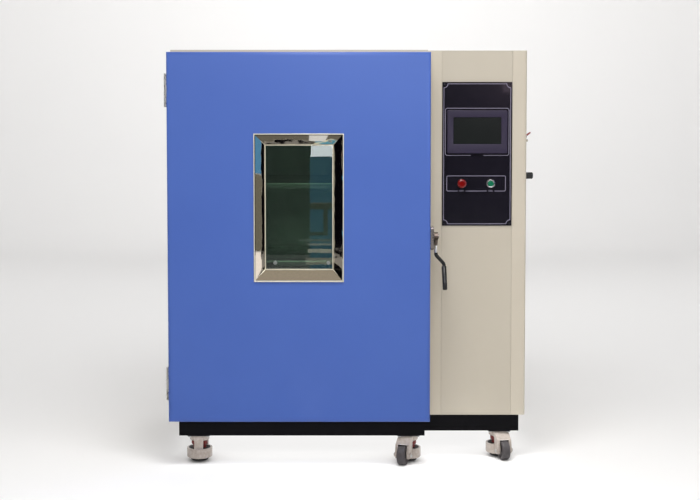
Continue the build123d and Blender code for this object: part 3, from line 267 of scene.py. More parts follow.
def reflector(name, low, high, colour, strength):
    """A flat glowing card from one corner to the other, seen only in polished surfaces."""
    glow, tree, surface = new_tree(name + "_glow")
    light = add_node(tree, "ShaderNodeEmission", {"Color": linear(colour), "Strength": strength})
    tree.links.new(light.outputs[0], surface.inputs[0])
    flat = min(range(3), key=lambda axis: abs(high[axis] - low[axis]))
    across, up = [axis for axis in range(3) if axis != flat]
    corners = []
    for u, v in ((0, 0), (1, 0), (1, 1), (0, 1)):
        corner = list(low)
        corner[across] = (low, high)[u][across]
        corner[up] = (low, high)[v][up]
        corners.append(corner)
    bm = bmesh.new()
    bm.faces.new([bm.verts.new(corner) for corner in corners])
    card = as_object(name, bm, glow)
    card.visible_camera = False
    card.visible_diffuse = False
    card.visible_shadow = False
    card.visible_transmission = False
    return card


bezel_low, bezel_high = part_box("window_bezel")
side_card_x = 2.6
card_front = bezel_low.y - 1.2
card_back = bezel_high.y + 0.3
for name, side, z_low, z_high, colour, strength in (
    ("left_flag", -side_card_x, 0.52, 2.4, "0B0B0D", 0.6),
    ("left_flag_lamp", 0.1 - side_card_x, 0.90, 0.95, "A8552A", 0.7),
    ("left_flag_foot", -side_card_x, 0.05, 0.46, "EDE3DA", 0.8),
    ("right_card_wall", side_card_x, 0.80, 1.9, "5A93BD", 1.2),
    ("right_card_bench", side_card_x, 0.42, 0.79, "817D6F", 1.0),
    ("right_card_foot", side_card_x, 0.05, 0.41, "F4EBE4", 1.5),
):
    reflector(
        name, (door_x + side, card_front, z_low), (door_x + side, card_back, z_high), colour,
        strength,
    )
for name, left, right, front, back, z, colour, strength in (
    ("floor_card", -0.9, 0.9, -0.9, 0.02, 0.16, "7C776C", 1.0),
    ("floor_card_patch", 0.005, 0.075, -0.6, 0.02, 0.17, "FFFFFF", 1.0),
    ("ceiling_card", -1.1, 1.1, -1.3, 0.6, 2.9, "C9BDAA", 0.8),
):
    reflector(
        name, (door_x + left, bezel_low.y + front, z), (door_x + right, bezel_low.y + back, z),
        colour, strength,
    )

# A large black flag behind the camera keeps the glossy black plate and the pane dark.
reflector("front_flag", (-3.2, -6.4, 0.02), (3.4, -6.4, 2.5), "0C0A12", 1.0)
reflector("front_glow", (-3.2, -6.3, 2.6), (3.4, -6.3, 4.4), "F4F2F6", 2.8)
reflector("corner_glow", (1.15, -6.3, 1.25), (1.95, -6.3, 2.3), "D8BCD0", 1.7)

# A bright doorway on the far side of the room, mirrored in the right third of the window.
doorway_y = bezel_high.y - 1.6
for name, x_low, x_high, z_low, z_high, colour, strength in (
    ("doorway_glass", -0.012, 0.110, 0.440, 0.940, "479BC1", 2.0),
    ("doorway_light", -0.007, 0.110, 0.942, 0.993, "E6F0F2", 15.0),
    ("doorway_rail", -0.012, 0.110, 0.712, 0.737, "7F7C60", 1.0),
    ("doorway_rail_edge", -0.007, 0.110, 0.737, 0.742, "C9CCB4", 1.6),
    ("doorway_post", 0.047, 0.067, 0.600, 0.712, "6C6A52", 1.0),
    ("doorway_sill", -0.012, 0.067, 0.598, 0.612, "6C6A52", 1.0),
    ("doorway_step_one", -0.060, 0.110, 0.572, 0.581, "B7C6C0", 1.6),
    ("doorway_step_two", -0.020, 0.110, 0.554, 0.563, "CFD6CC", 3.0),
    ("doorway_step_three", -0.020, 0.110, 0.522, 0.538, "DAD8C4", 5.0),
    ("doorway_floor", -0.030, 0.110, 0.470, 0.500, "CBC9B6", 3.4),
):
    forward = 0.0 if name == "doorway_glass" else 0.02
    reflector(
        name, (door_x + x_low, doorway_y + forward, z_low),
        (door_x + x_high, doorway_y + forward, z_high), colour, strength,
    )

# ---------------------------------------------------------------- base frame
# A welded pan of steel sheet in satin black enamel, sprayed over blasted metal, so that it shows
# a soft orange peel.


def coated(
    name, light, dark, drift_mm=240.0, grain_mm=4.0, grain_depth_mm=0.06,
    roughness=0.45, roughness_swing=0.08, **values,
):
    """A paint or a moulded plastic: a slow drift of colour, a fine grain and uneven gloss."""
    material, tree, surface = new_tree(name)
    grain = noise(tree, grain_mm, 2.0)
    return finished(material, tree, surface, **{
        "Base Color": blend(tree, noise(tree, drift_mm, 3.0), dark, light),
        "Roughness": ranged(tree, grain, roughness - roughness_swing, roughness + roughness_swing),
        "Normal": bumped(tree, grain, grain_depth_mm), **values,
    })


def dress(material, *names):
    """Puts a finish on solids in place of the plain one that they come with."""
    for name in names:
        for slot in nodes[name].material_slots:
            slot.material = material


black_enamel = coated(
    "black_enamel_on_sheet_steel", "0C0B0F", "060608", drift_mm=180, grain_mm=5,
    grain_depth_mm=0.08, roughness=0.5, **{"Specular IOR Level": 0.08},
)
dress(black_enamel, "base_frame")

# ---------------------------------------------------------------- caster plates and their bolts
# Pressed steel plates with a black oxide finish.  Each is held under the pan by four zinc plated
# hexagon bolts on washers.


def refined(name, material, crease=30, bevel_mm=0.0):
    """A joined, smooth copy of a solid with its sharp edges lightly rounded; it stands for it."""
    bm = bmesh.new()
    bm.from_mesh(nodes[name].data)
    bmesh.ops.remove_doubles(bm, verts=bm.verts[:], dist=0.002 * MM)
    bmesh.ops.dissolve_degenerate(bm, edges=bm.edges[:], dist=0.002 * MM)
    piece = as_object(name + "_finished", bm, material, smooth=True, crease=crease)
    if bevel_mm:
        rounding = piece.modifiers.new("rounded_edges", "BEVEL")
        rounding.width = bevel_mm * MM
        rounding.segments = 2
        rounding.limit_method = "ANGLE"
        rounding.angle_limit = radians(crease)
        rounding.use_clamp_overlap = True
        rounding.harden_normals = True
    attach(piece, nodes[name]["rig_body"])
    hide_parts(name)
    return piece


def geometry_tree(name, **sockets):
    """A geometry tree with its inputs, each given by the kind of its socket."""
    tree = bpy.data.node_groups.new(name, "GeometryNodeTree")
    for label, kind in {"Geometry": "Geometry", **sockets, "Finish": "Material"}.items():
        tree.interface.new_socket(
            name=label.replace("_", " "), in_out="INPUT", socket_type="NodeSocket" + kind
        )
    tree.interface.new_socket(name="Geometry", in_out="OUTPUT", socket_type="NodeSocketGeometry")
    return tree, add_node(tree, "NodeGroupInput").outputs


def close_tree(tree, placed, finish):
    """Makes the copies real, gives them their finish and hands them on."""
    solid = add_node(tree, "GeometryNodeRealizeInstances", {"Geometry": placed.outputs[0]})
    coloured = add_node(tree, "GeometryNodeSetMaterial", {
        "Geometry": solid.outputs[0], "Material": finish,
    })
    tree.links.new(coloured.outputs[0], add_node(tree, "NodeGroupOutput").inputs[0])
    return tree


def fastener_tree(name, sides, washer):
    """Geometry nodes for one kind of screw: a head on every point of the mesh, facing one way."""
    tree, given = geometry_tree(
        name, Head_Radius="Float", Head_Height="Float", Facing="Vector", Seed="Int"
    )

    def share(socket, factor):
        """A length worked out from one of the inputs."""
        return add_node(
            tree, "ShaderNodeMath", {0: socket, 1: factor}, operation="MULTIPLY"
        ).outputs[0]

    if washer:
        hexagon = add_node(tree, "GeometryNodeMeshCylinder", {
            "Vertices": sides, "Radius": given["Head Radius"], "Depth": given["Head Height"],
        }, fill_type="NGON")
        ring = add_node(tree, "GeometryNodeMeshCylinder", {
            "Vertices": 32, "Radius": share(given["Head Radius"], 1.35),
            "Depth": share(given["Head Height"], 0.35),
        }, fill_type="NGON")
        up = add_node(tree, "ShaderNodeCombineXYZ", {"Z": share(given["Head Height"], 0.5)})
        raised = add_node(tree, "GeometryNodeTransform", {
            "Geometry": hexagon.outputs[0], "Translation": up.outputs[0],
        })
        parts = [raised, ring]
    else:
        head = add_node(tree, "GeometryNodeMeshCone", {
            "Vertices": sides, "Radius Top": share(given["Head Radius"], 0.72),
            "Radius Bottom": given["Head Radius"], "Depth": given["Head Height"],
        }, fill_type="NGON")
        cross = add_node(tree, "GeometryNodeMeshBoolean", operation="DIFFERENCE")
        tree.links.new(head.outputs[0], cross.inputs["Mesh 1"])
        for long_axis in (0, 1):
            size = add_node(tree, "ShaderNodeCombineXYZ", {
                long_axis: share(given["Head Radius"], 1.1),
                1 - long_axis: share(given["Head Radius"], 0.24), 2: given["Head Height"],
            })
            bar = add_node(tree, "GeometryNodeMeshCube", {"Size": size.outputs[0]})
            lift = add_node(tree, "ShaderNodeCombineXYZ", {"Z": share(given["Head Height"], 1.1)})
            moved = add_node(tree, "GeometryNodeTransform", {
                "Geometry": bar.outputs[0], "Translation": lift.outputs[0],
            })
            tree.links.new(moved.outputs[0], cross.inputs["Mesh 2"])
        parts = [cross]
    joined = add_node(tree, "GeometryNodeJoinGeometry")
    for part in parts:
        tree.links.new(part.outputs[0], joined.inputs[0])
    facing = add_node(tree, "FunctionNodeAlignRotationToVector", {
        "Vector": given["Facing"],
    }, axis="Z")
    turn = add_node(tree, "FunctionNodeRandomValue", {
        "Seed": given["Seed"], 2: 0.0, 3: 2 * pi,
    }, data_type="FLOAT")
    spin = add_node(tree, "ShaderNodeCombineXYZ", {"Z": turn.outputs[1]})
    euler = add_node(tree, "FunctionNodeEulerToRotation", {"Euler": spin.outputs[0]})
    turned = add_node(tree, "FunctionNodeRotateRotation", {
        "Rotation": facing.outputs[0], "Rotate By": euler.outputs[0],
    }, rotation_space="LOCAL")
    placed = add_node(tree, "GeometryNodeInstanceOnPoints", {
        "Points": given["Geometry"], "Instance": joined.outputs[0],
        "Rotation": turned.outputs[0],
    })
    return close_tree(tree, placed, given["Finish"])


def drawn_out(maker):
    """The mesh that an object comes to, in place of the object."""
    bpy.context.view_layer.update()
    evaluated = maker.evaluated_get(bpy.context.evaluated_depsgraph_get())
    mesh = bpy.data.meshes.new_from_object(evaluated)
    bpy.data.objects.remove(maker)
    return mesh


def made_by_nodes(name, start, tree, inputs, body):
    """Runs a geometry tree on a starting mesh and keeps its result as a plain mesh on a body."""
    maker = new_object(name + "_maker", start)
    modifier = maker.modifiers.new("maker", "NODES")
    modifier.node_group = tree
    keys = {
        item.name: item.identifier for item in tree.interface.items_tree if item.in_out == "INPUT"
    }
    for label, value in inputs.items():
        modifier[keys[label]] = value
    mesh = drawn_out(maker)
    mesh.name = name
    piece = new_object(name, mesh)
    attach(piece, body)
    return piece


def fasteners(name, tree, points, facing, radius_mm, height_mm, finish, body, seed=1):
    """A set of like screws, one at each point, with their heads facing one way."""
    start = bpy.data.meshes.new(name + "_points")
    start.from_pydata([tuple(point) for point in points], [], [])
    return made_by_nodes(name, start, tree, {
        "Head Radius": radius_mm * MM, "Head Height": height_mm * MM,
        "Facing": tuple(facing), "Finish": finish, "Seed": seed,
    }, body)


hexagon_bolt = fastener_tree("hexagon_bolt_on_washer", 6, True)
cross_screw = fastener_tree("cross_recess_screw", 28, False)

black_oxide = coated(
    "black_oxide_steel_plate", "232326", "151517", drift_mm=60, grain_mm=2.5,
    grain_depth_mm=0.03, roughness=0.5, Metallic=0.6,
)
zinc_plate = coated(
    "zinc_plated_steel", "C3C4C2", "9C9D9C", drift_mm=14, grain_mm=2,
    grain_depth_mm=0.02, roughness=0.33, Metallic=1.0,
)
dress(black_oxide, "caster_plates")

casters = ("front_left", "front_middle", "front_right", "rear_left", "rear_right")
plate_bolt_offset = 30 * MM
plate_thickness = 4 * MM
plate_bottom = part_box("base_frame")[0].z - plate_thickness
plate_points = []
for caster in casters:
    kingpin = middle(caster + "_caster_foot")
    plate_points += [
        (kingpin.x + x, kingpin.y + y, plate_bottom)
        for x in (-plate_bolt_offset, plate_bolt_offset)
        for y in (-plate_bolt_offset, plate_bolt_offset)
    ]
fasteners(
    "caster_plate_bolts", hexagon_bolt, plate_points, (0, 0, -1), 5.2, 3.6, zinc_plate,
    "oven",
)

# ---------------------------------------------------------------- levelling casters
# Die-cast forks in cream enamel, rubbed to bare metal on their edges; grey polyurethane wheels on
# riveted axles; red glass-filled nylon thumbwheels; rubber pads bonded to zinc plated stems.


def cast_enamel(name, light, dark, bare, corner_shade_mm):
    """Thick enamel on a sand-rough casting: soft lumps, corners darkened as painted shade, wear on
    the edges.
    """
    material, tree, surface = new_tree(name)
    lumps = noise(tree, 9, 4.0)
    # Ambient occlusion darkens corners and recesses towards brown grey: painted shade.
    corners = add_node(tree, "ShaderNodeAmbientOcclusion", {"Distance": corner_shade_mm * MM}, samples=4)
    painted_corner_shade = ranged(tree, corners.outputs["AO"], 0.8, 0.0, **{"From Min": 0.3, "From Max": 0.95})
    corner_shaded = blend(tree, painted_corner_shade, blend(tree, lumps, dark, light), "4A423C")
    edges = add_node(
        tree, "ShaderNodeAmbientOcclusion", {"Distance": 1.6 * MM}, samples=4, inside=True
    )
    rub = ranged(tree, edges.outputs["AO"], 0.7, 0.0, **{"From Min": 0.35, "From Max": 0.6})
    return finished(material, tree, surface, **{
        "Base Color": blend(tree, rub, corner_shaded, bare), "Roughness": ranged(tree, lumps, 0.26, 0.46),
        "Normal": bumped(tree, lumps, 0.25, 0.8), "Coat Weight": 0.35, "Coat Roughness": 0.15,
    })


cream_casting = cast_enamel("cream_enamel_on_die_casting", "B8AEA5", "857970", "F1EDE8", 9.0)
grey_tread = coated(
    "grey_polyurethane_tread", "433E40", "2F2B2D", drift_mm=16, grain_mm=1.6,
    grain_depth_mm=0.05, roughness=0.5,
)
red_nylon = coated(
    "red_glass_filled_nylon", "72100B", "560B07", drift_mm=12, grain_mm=1.5,
    grain_depth_mm=0.03, roughness=0.42,
)


def above(tree, height):
    """One above a height and zero below it, in the piece's own frame."""
    place = add_node(tree, "ShaderNodeTexCoord")
    split = add_node(tree, "ShaderNodeSeparateXYZ", {"Vector": place.outputs["Object"]})
    return add_node(
        tree, "ShaderNodeMath", {0: split.outputs["Z"], 1: height}, operation="GREATER_THAN"
    ).outputs[0]


def bonded_pad(name, join_z):
    """Black rubber below join_z and a zinc plated stem above it."""
    material, tree, surface = new_tree(name)
    stem = above(tree, join_z)
    scuffs = noise(tree, 3, 3.0)
    rubber = blend(tree, scuffs, "0C0C0E", "1E1E20")
    return finished(material, tree, surface, **{
        "Base Color": blend(tree, stem, rubber, "B4B5B4"), "Metallic": stem,
        "Roughness": ranged(tree, stem, 0.78, 0.32), "Normal": bumped(tree, scuffs, 0.1, 0.7),
    })


pad_thickness = 8.2 * MM
pad_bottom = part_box("front_left_caster_foot")[0].z
pad_rubber = bonded_pad("black_rubber_pad_on_zinc_stem", pad_bottom + pad_thickness)
# Black finish for the ring under each thumbwheel, which paints the shade there.
shade_ring_finish = coated(
    "black_ring_painted_as_shade", "141414", "0A0A0B", drift_mm=20, grain_mm=2, grain_depth_mm=0.05,
    roughness=0.7,
)
boss_face = 28 * MM
pot_above_pad = 41 * MM
ring_steps = 40
ring_start = 55
ring_sweep = 250
ring_section = ((22.8, 0.1), (35, 0.1), (35, 1.0), (22.8, 1.0))
for caster in casters:
    refined(caster + "_caster_fork", cream_casting, crease=35, bevel_mm=1.2)
    refined(caster + "_caster_wheel", grey_tread, crease=35)
    refined(caster + "_caster_thumbwheel", red_nylon, crease=35, bevel_mm=0.5)
    refined(caster + "_caster_foot", pad_rubber, crease=35)
    axle = middle(caster + "_caster_wheel")
    kingpin = middle(caster + "_caster_foot")
    trail = axle - kingpin
    trail.z = 0
    across = Vector((-trail.y, trail.x, 0)).normalized()
    for side_name, side in (("left", 1), ("right", -1)):
        fasteners(
            f"{caster}_caster_axle_rivet_{side_name}", cross_screw,
            [axle + across * side * boss_face], across * side, 5.4, 2.4, zinc_plate,
            caster + "_caster_swivel", seed=len(caster) + side,
        )
    # A thin flat black ring on the pot round the thumbwheel's collar paints the shade under the
    # thumbwheel; it is open where the wheel turns past.
    pot_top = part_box(caster + "_caster_foot")[0].z + pot_above_pad
    forward = trail.normalized()
    bm = bmesh.new()
    rings = []
    for i in range(ring_steps + 1):
        angle = radians(ring_start + i / ring_steps * ring_sweep)
        way = forward * cos(angle) + across * sin(angle)
        rings.append([
            bm.verts.new((
                kingpin.x + radius * MM * way.x, kingpin.y + radius * MM * way.y, pot_top + z * MM
            ))
            for radius, z in ring_section
        ])
    loft(bm, rings)
    thumbwheel_shade_ring = as_object(caster + "_caster_ring", bm, shade_ring_finish, smooth=True, crease=40)
    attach(thumbwheel_shade_ring, caster + "_caster_swivel")

# ---------------------------------------------------------------- cabinets
# Folded 2 mm steel with a baked polyester powder coat in warm beige.  The powder flows out to a
# fine leather grain about 3 mm across and half gloss, a little darker where it is thin.
beige_coat = coated(
    "beige_polyester_powder_coat", "C6BEAE", "BEB4A3", drift_mm=420, grain_mm=3.4,
    grain_depth_mm=0.05, roughness=0.46, roughness_swing=0.06,
)
dress(beige_coat, "chamber_casing", "control_casing", "rear_covers")
# The front panel wears a slightly darker copy of the same beige coat, as painted shade.
shaded_panel_coat = coated(
    "beige_powder_coat_darkened_as_shade", "BFB7A7", "B5AC9C", drift_mm=300, grain_mm=3.4,
    grain_depth_mm=0.05, roughness=0.48, roughness_swing=0.06,
)
dress(shaded_panel_coat, "control_front_panel")

# Low cross-recess screws hold the rear covers along their edges.
cover_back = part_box("rear_covers")[1].y
control_low, control_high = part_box("control_casing")
chamber_low, chamber_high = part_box("chamber_casing")
cover_edge = 12 * MM
rows_up = 7
cover_screws = []
for low_x, high_x, columns in (
    (chamber_low.x, chamber_high.x, 5), (control_low.x, control_high.x, 3),
):
    row_step = (chamber_high.z - chamber_low.z - 2 * cover_edge) / (rows_up - 1)
    column_step = (high_x - low_x - 2 * cover_edge) / (columns - 1)
    for row in range(rows_up):
        z = chamber_low.z + cover_edge + row * row_step
        for column in range(columns):
            if 0 < row < rows_up - 1 and 0 < column < columns - 1:
                continue
            x = low_x + cover_edge + column * column_step
            cover_screws.append((x, cover_back - 0.2 * MM, z))
fasteners(
    "rear_cover_screws", cross_screw, cover_screws, (0, 1, 0), 4.2, 2.2, zinc_plate, "oven",
    seed=7,
)

# Pressed hoods over the control cabinet's cooling slots, one above each slot.


def repeat_tree(name):
    """Geometry nodes that repeat the given piece in a straight row."""
    tree, given = geometry_tree(name, Count="Int", Step="Vector")
    row = add_node(tree, "GeometryNodeMeshLine", {
        "Count": given["Count"], "Offset": given["Step"],
    }, mode="OFFSET")
    placed = add_node(tree, "GeometryNodeInstanceOnPoints", {
        "Points": row.outputs[0], "Instance": given["Geometry"],
    })
    return close_tree(tree, placed, given["Finish"])


row_of_pieces = repeat_tree("row_of_pieces")
hood_length = 190 * MM
hood_rise = 11 * MM
hood_proud = 5.0 * MM
hood_pitch = 22 * MM
hood_rows = 9
hood_wall = 0.9 * MM
hood_above_slot = 4.5 * MM
columns = 24
arcs = 8
control_x = middle("control_casing").x
body_height = control_high.z - control_low.z
for bank, share_up in (("lower", 0.3), ("upper", 0.8)):
    first_slot_z = control_low.z + share_up * body_height - (hood_rows - 1) / 2 * hood_pitch
    bm = bmesh.new()
    shell = []
    for layer in (0.0, hood_wall):
        grid = []
        for i in range(columns + 1):
            along = -1 + 2 * i / columns
            swell = (1 - abs(along) ** 6) ** 0.5
            x = control_x + along * (hood_length / 2 - layer)
            grid.append([
                bm.verts.new((
                    x,
                    cover_back - 0.3 * MM + (hood_proud - layer) * swell * sin(j / arcs * pi / 2),
                    first_slot_z + hood_above_slot
                    - (hood_rise - layer) * (1 - cos(j / arcs * pi / 2)),
                ))
                for j in range(arcs + 1)
            ])
        shell.append(grid)
    for grid in shell:
        for i in range(columns):
            for j in range(arcs):
                bm.faces.new((grid[i][j], grid[i + 1][j], grid[i + 1][j + 1], grid[i][j + 1]))
    outer, inner = shell
    for i in range(columns):
        for j in (0, arcs):
            bm.faces.new((outer[i][j], outer[i + 1][j], inner[i + 1][j], inner[i][j]))
    for j in range(arcs):
        for i in (0, columns):
            bm.faces.new((outer[i][j], outer[i][j + 1], inner[i][j + 1], inner[i][j]))
    hood = as_object(bank + "_hood_shape", bm, beige_coat, smooth=True, crease=50)
    start = hood.data
    bpy.data.objects.remove(hood)
    made_by_nodes(bank + "_cooling_hoods", start, row_of_pieces, {
        "Count": hood_rows, "Step": (0, 0, hood_pitch), "Finish": beige_coat,
    }, "oven")

# ---------------------------------------------------------------- tank, shelves and probe
# Welded stainless steel with a number 4 finish: fine brush lines along the sheet, dull and a
# little green in the light that the thick glass lets through.


def brushed(name, light, dark, along, line_mm, roughness=0.32, **values):
    """Metal brushed along one axis (0, 1 or 2): long fine lines in its tone, gloss and relief."""
    material, tree, surface = new_tree(name)
    place = add_node(tree, "ShaderNodeTexCoord")
    scale = [1 / (line_mm * MM)] * 3
    scale[along] = scale[along] / 60
    stretched = add_node(tree, "ShaderNodeMapping", {
        "Vector": place.outputs["Object"], "Scale": scale,
    })
    lines = add_node(tree, "ShaderNodeTexNoise", {
        "Vector": stretched.outputs[0], "Scale": 1.0, "Detail": 3.0,
    }).outputs[0]
    return finished(material, tree, surface, **{
        "Base Color": blend(tree, lines, dark, light), "Metallic": 1.0,
        "Roughness": ranged(tree, lines, roughness - 0.08, roughness + 0.12),
        "Normal": bumped(tree, lines, 0.03), **values,
    })


tank_steel = brushed("brushed_stainless_sheet_upright", "B4B6B2", "93958F", 2, 1.6)
# The shelves wear a darker copy of the tank's brushed stainless, as painted shade.
shaded_shelf_steel = brushed("brushed_stainless_darkened_as_shade", "A3A59E", "82847D", 0, 1.2)
pipe_steel = brushed("turned_stainless_tube", "BEBFC0", "9A9B9D", 0, 0.8, roughness=0.28)
dress(tank_steel, "inner_chamber", "shelf_rails", "door_liner")
dress(shaded_shelf_steel, "upper_shelf")
refined("lower_shelf", shaded_shelf_steel, crease=35)

# A pale bead along each shelf's front top edge paints the highlight that the folded edge catches.
edge_highlight = coated(
    "painted_highlight_steel_edge", "DDE2D2", "C4CABA", drift_mm=40, grain_mm=1.5, grain_depth_mm=0.01,
    roughness=0.35, Metallic=0.4,
)
edge_radius = 2.2 * MM
for shelf in ("upper_shelf", "lower_shelf"):
    shelf_low, shelf_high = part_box(shelf)
    bm = bmesh.new()
    loft(bm, [
        [
            bm.verts.new((
                shelf_low.x + share * (shelf_high.x - shelf_low.x),
                shelf_low.y - 0.1 * MM + edge_radius * 0.5 * cos(turn),
                shelf_high.z - edge_radius + edge_radius * sin(turn),
            ))
            for turn in turns(10)
        ]
        for share in (0.02, 0.98)
    ])
    highlight_bead = as_object(shelf + "_edge_highlight", bm, edge_highlight, smooth=True, crease=50)
    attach(highlight_bead, shelf)
dress(pipe_steel, "temperature_probe")
refined("vacuum_pipe", pipe_steel, crease=35, bevel_mm=0.6)

# Silicone profile glued round the tank's mouth.
seal_silicone = coated(
    "translucent_white_silicone", "E6E4DD", "D4D1C6", drift_mm=90, grain_mm=2,
    grain_depth_mm=0.02, roughness=0.55, **{"Subsurface Weight": 0.15, "Subsurface Scale": 0.004},
)
dress(seal_silicone, "door_gasket")

# ---------------------------------------------------------------- insulation and heaters
# Mineral wool slabs are packed round the tank and into the door.  Heating pads of silicone on
# glass cloth lie against the tank.


def mineral_wool(name):
    """Matted yellow fibres in layers."""
    material, tree, surface = new_tree(name)
    layers = noise(tree, 6, 6.0, Distortion=1.4)
    return finished(material, tree, surface, **{
        "Base Color": blend(tree, layers, "A8985F", "D9CF9E"), "Roughness": 0.95,
        "Sheen Weight": 0.3, "Normal": bumped(tree, layers, 1.5),
    })


wool = mineral_wool("mineral_wool_slab")
dress(wool, "chamber_insulation", "door_insulation")


def woven_silicone(name):
    """Orange silicone over glass cloth, with the cloth's 1.5 mm weave showing through."""
    material, tree, surface = new_tree(name)
    place = add_node(tree, "ShaderNodeTexCoord")
    weave = add_node(tree, "ShaderNodeTexVoronoi", {
        "Vector": place.outputs["Object"], "Scale": 1 / (1.5 * MM), "Randomness": 0.15,
    }).outputs["Distance"]
    return finished(material, tree, surface, **{
        "Base Color": blend(tree, weave, "B5502F", "92391F"), "Roughness": 0.7,
        "Normal": bumped(tree, weave, 0.2, 0.7),
    })


dress(woven_silicone("orange_silicone_on_glass_cloth"), "heater_pads")

# ---------------------------------------------------------------- inside the control cabinet
# A tray of zinc plated sheet stands off the cabinet's inner side.  Breakers, contactors and
# relays moulded in pale grey polyamide are fixed to its face.
module_plastic = coated(
    "pale_grey_moulded_polyamide", "D9D8D2", "C6C5BE", drift_mm=70, grain_mm=1.2,
    grain_depth_mm=0.02, roughness=0.5,
)
dress(zinc_plate, "electrical_tray")
dress(module_plastic, "electrical_modules")

# ---------------------------------------------------------------- services and side valves
# A nylon cable gland, nickel plated brass valve bodies, a fluted black knob and a flat steel lever
# whose bent end wears a red dipped sleeve.
black_nylon = coated(
    "black_moulded_nylon", "1A1A1C", "0F0F11", drift_mm=20, grain_mm=1.0,
    grain_depth_mm=0.02, roughness=0.38,
)
nickel_brass = coated(
    "nickel_plated_brass", "CFC9BB", "B3AB98", drift_mm=12, grain_mm=1.2,
    grain_depth_mm=0.01, roughness=0.24, Metallic=1.0,
)
lever_steel = brushed("bright_steel_strip", "C9CACC", "A4A5A8", 2, 0.5, roughness=0.22)
refined("mains_gland", black_nylon, crease=35, bevel_mm=0.5)
refined("valve_bodies", nickel_brass, crease=35, bevel_mm=0.5)
refined("vent_knob", black_nylon, crease=35, bevel_mm=0.4)
refined("isolation_lever", lever_steel, crease=35, bevel_mm=0.3)

red_dip = coated(
    "red_dipped_vinyl", "A3201B", "7C1410", drift_mm=8, grain_mm=1.0, grain_depth_mm=0.02,
    roughness=0.3,
)
lever_low, lever_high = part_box("isolation_lever")
sleeve_half_y = (lever_high.y - lever_low.y) / 2 - 1.5 * MM
sleeve_middle_y = middle("isolation_lever").y
sleeve_start = Vector((lever_high.x - 12.0 * MM, 0, lever_high.z - 9.0 * MM))
sleeve_end = Vector((lever_high.x + 1.2 * MM, 0, lever_high.z + 0.6 * MM))
sleeve_along = (sleeve_end - sleeve_start).normalized()
sleeve_up = Vector((-sleeve_along.z, 0, sleeve_along.x))
sleeve_thick = 2.6 * MM
sleeve_sides = 20
sleeve_steps = 8
bm = bmesh.new()
rings = []
for step in range(sleeve_steps + 1):
    share = step / sleeve_steps
    fullness = max(0.15, 1 - max(0.0, (share - 0.7) / 0.3) ** 3) ** 0.5
    centre = sleeve_start.lerp(sleeve_end, share)
    ring = []
    for turn in turns(sleeve_sides):
        across = abs(cos(turn)) ** 0.6 * (1 if cos(turn) > 0 else -1) * sleeve_half_y * fullness
        lift = abs(sin(turn)) ** 0.6 * (1 if sin(turn) > 0 else -1) * sleeve_thick * fullness
        spot = centre + sleeve_up * lift
        ring.append(bm.verts.new((spot.x, sleeve_middle_y + across, spot.z)))
    rings.append(ring)
loft(bm, rings)
sleeve = as_object("isolation_lever_sleeve", bm, red_dip, smooth=True, crease=50)
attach(sleeve, "isolation_lever")

# ---------------------------------------------------------------- control faceplate
# Acrylic plate painted black on its back, so that its face is glossy, with pale screen-printed
# lines: a border notched round the corner screws, and one frame each for screen and buttons.
black_acrylic = coated(
    "back_painted_black_acrylic", "17151F", "121018", drift_mm=160, grain_mm=30,
    grain_depth_mm=0.04, roughness=0.16, roughness_swing=0.03, **{"Coat Weight": 0.6},
)
dress(black_acrylic, "faceplate")

pale_ink = coated(
    "pale_screen_printing_ink", "8D889B", "777286", drift_mm=40, grain_mm=1.5,
    grain_depth_mm=0.01, roughness=0.5,
)
face_low, face_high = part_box("faceplate")
ink_front = face_low.y - 0.12 * MM
ink_back = face_low.y + 0.05 * MM
ink_width = 1.9 * MM
screw_inset = 7.0 * MM
notch = 13.0 * MM


def arc(middle, radius, start, end, steps=8):
    """Points on an arc in the plate's plane, from one angle to another."""
    return [
        (middle[0] + radius * cos(start + (end - start) * i / steps),
         middle[1] + radius * sin(start + (end - start) * i / steps))
        for i in range(steps + 1)
    ]


def printed_line(name, path, closed, width):
    """A ribbon of ink of one width along a path in x and z on the plate."""
    bm = bmesh.new()
    count = len(path)
    rows = []
    for i, point in enumerate(path):
        before = path[(i - 1) % count] if closed or i else point
        after = path[(i + 1) % count] if closed or i < count - 1 else point
        first = Vector((point[0] - before[0], point[1] - before[1]))
        second = Vector((after[0] - point[0], after[1] - point[1]))
        if first.length < 1e-9:
            first = second
        if second.length < 1e-9:
            second = first
        first.normalize()
        second.normalize()
        middle = (first + second).normalized()
        out = Vector((-middle.y, middle.x)) * (width / 2 / max(0.4, middle.dot(first)))
        rows.append([
            bm.verts.new((point[0] + out.x * side, y, point[1] + out.y * side))
            for side, y in ((1, ink_front), (-1, ink_front), (-1, ink_back), (1, ink_back))
        ])
    loft(bm, rows, closed, capped=not closed)
    line = as_object(name, bm, pale_ink)
    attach(line, "oven")
    return line


border_inset_x = 5.0 * MM
border_inset_z = 6.0 * MM
border_left = face_low.x + border_inset_x
border_right = face_high.x - border_inset_x
border_low = face_low.z + border_inset_z
border_high = face_high.z - border_inset_z
border = (
    arc((border_left, border_low), notch, pi / 2, 0)
    + arc((border_right, border_low), notch, pi, pi / 2)
    + arc((border_right, border_high), notch, 1.5 * pi, pi)
    + arc((border_left, border_high), notch, 2 * pi, 1.5 * pi)
)
printed_line("faceplate_border_line", border, True, ink_width)

housing_low, housing_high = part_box("touch_screen")
housing_x = middle("touch_screen").x
collar_low, collar_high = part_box("button_collars")
collar_x = middle("button_collars").x
stop_x = middle("stop_button").x
start_x = middle("start_button").x
screen_gap_x = 5.5 * MM
screen_gap_z = 6.5 * MM
button_gap_z = 4.8 * MM
button_frame_half = 96 * MM
word_line = collar_low.z - button_gap_z
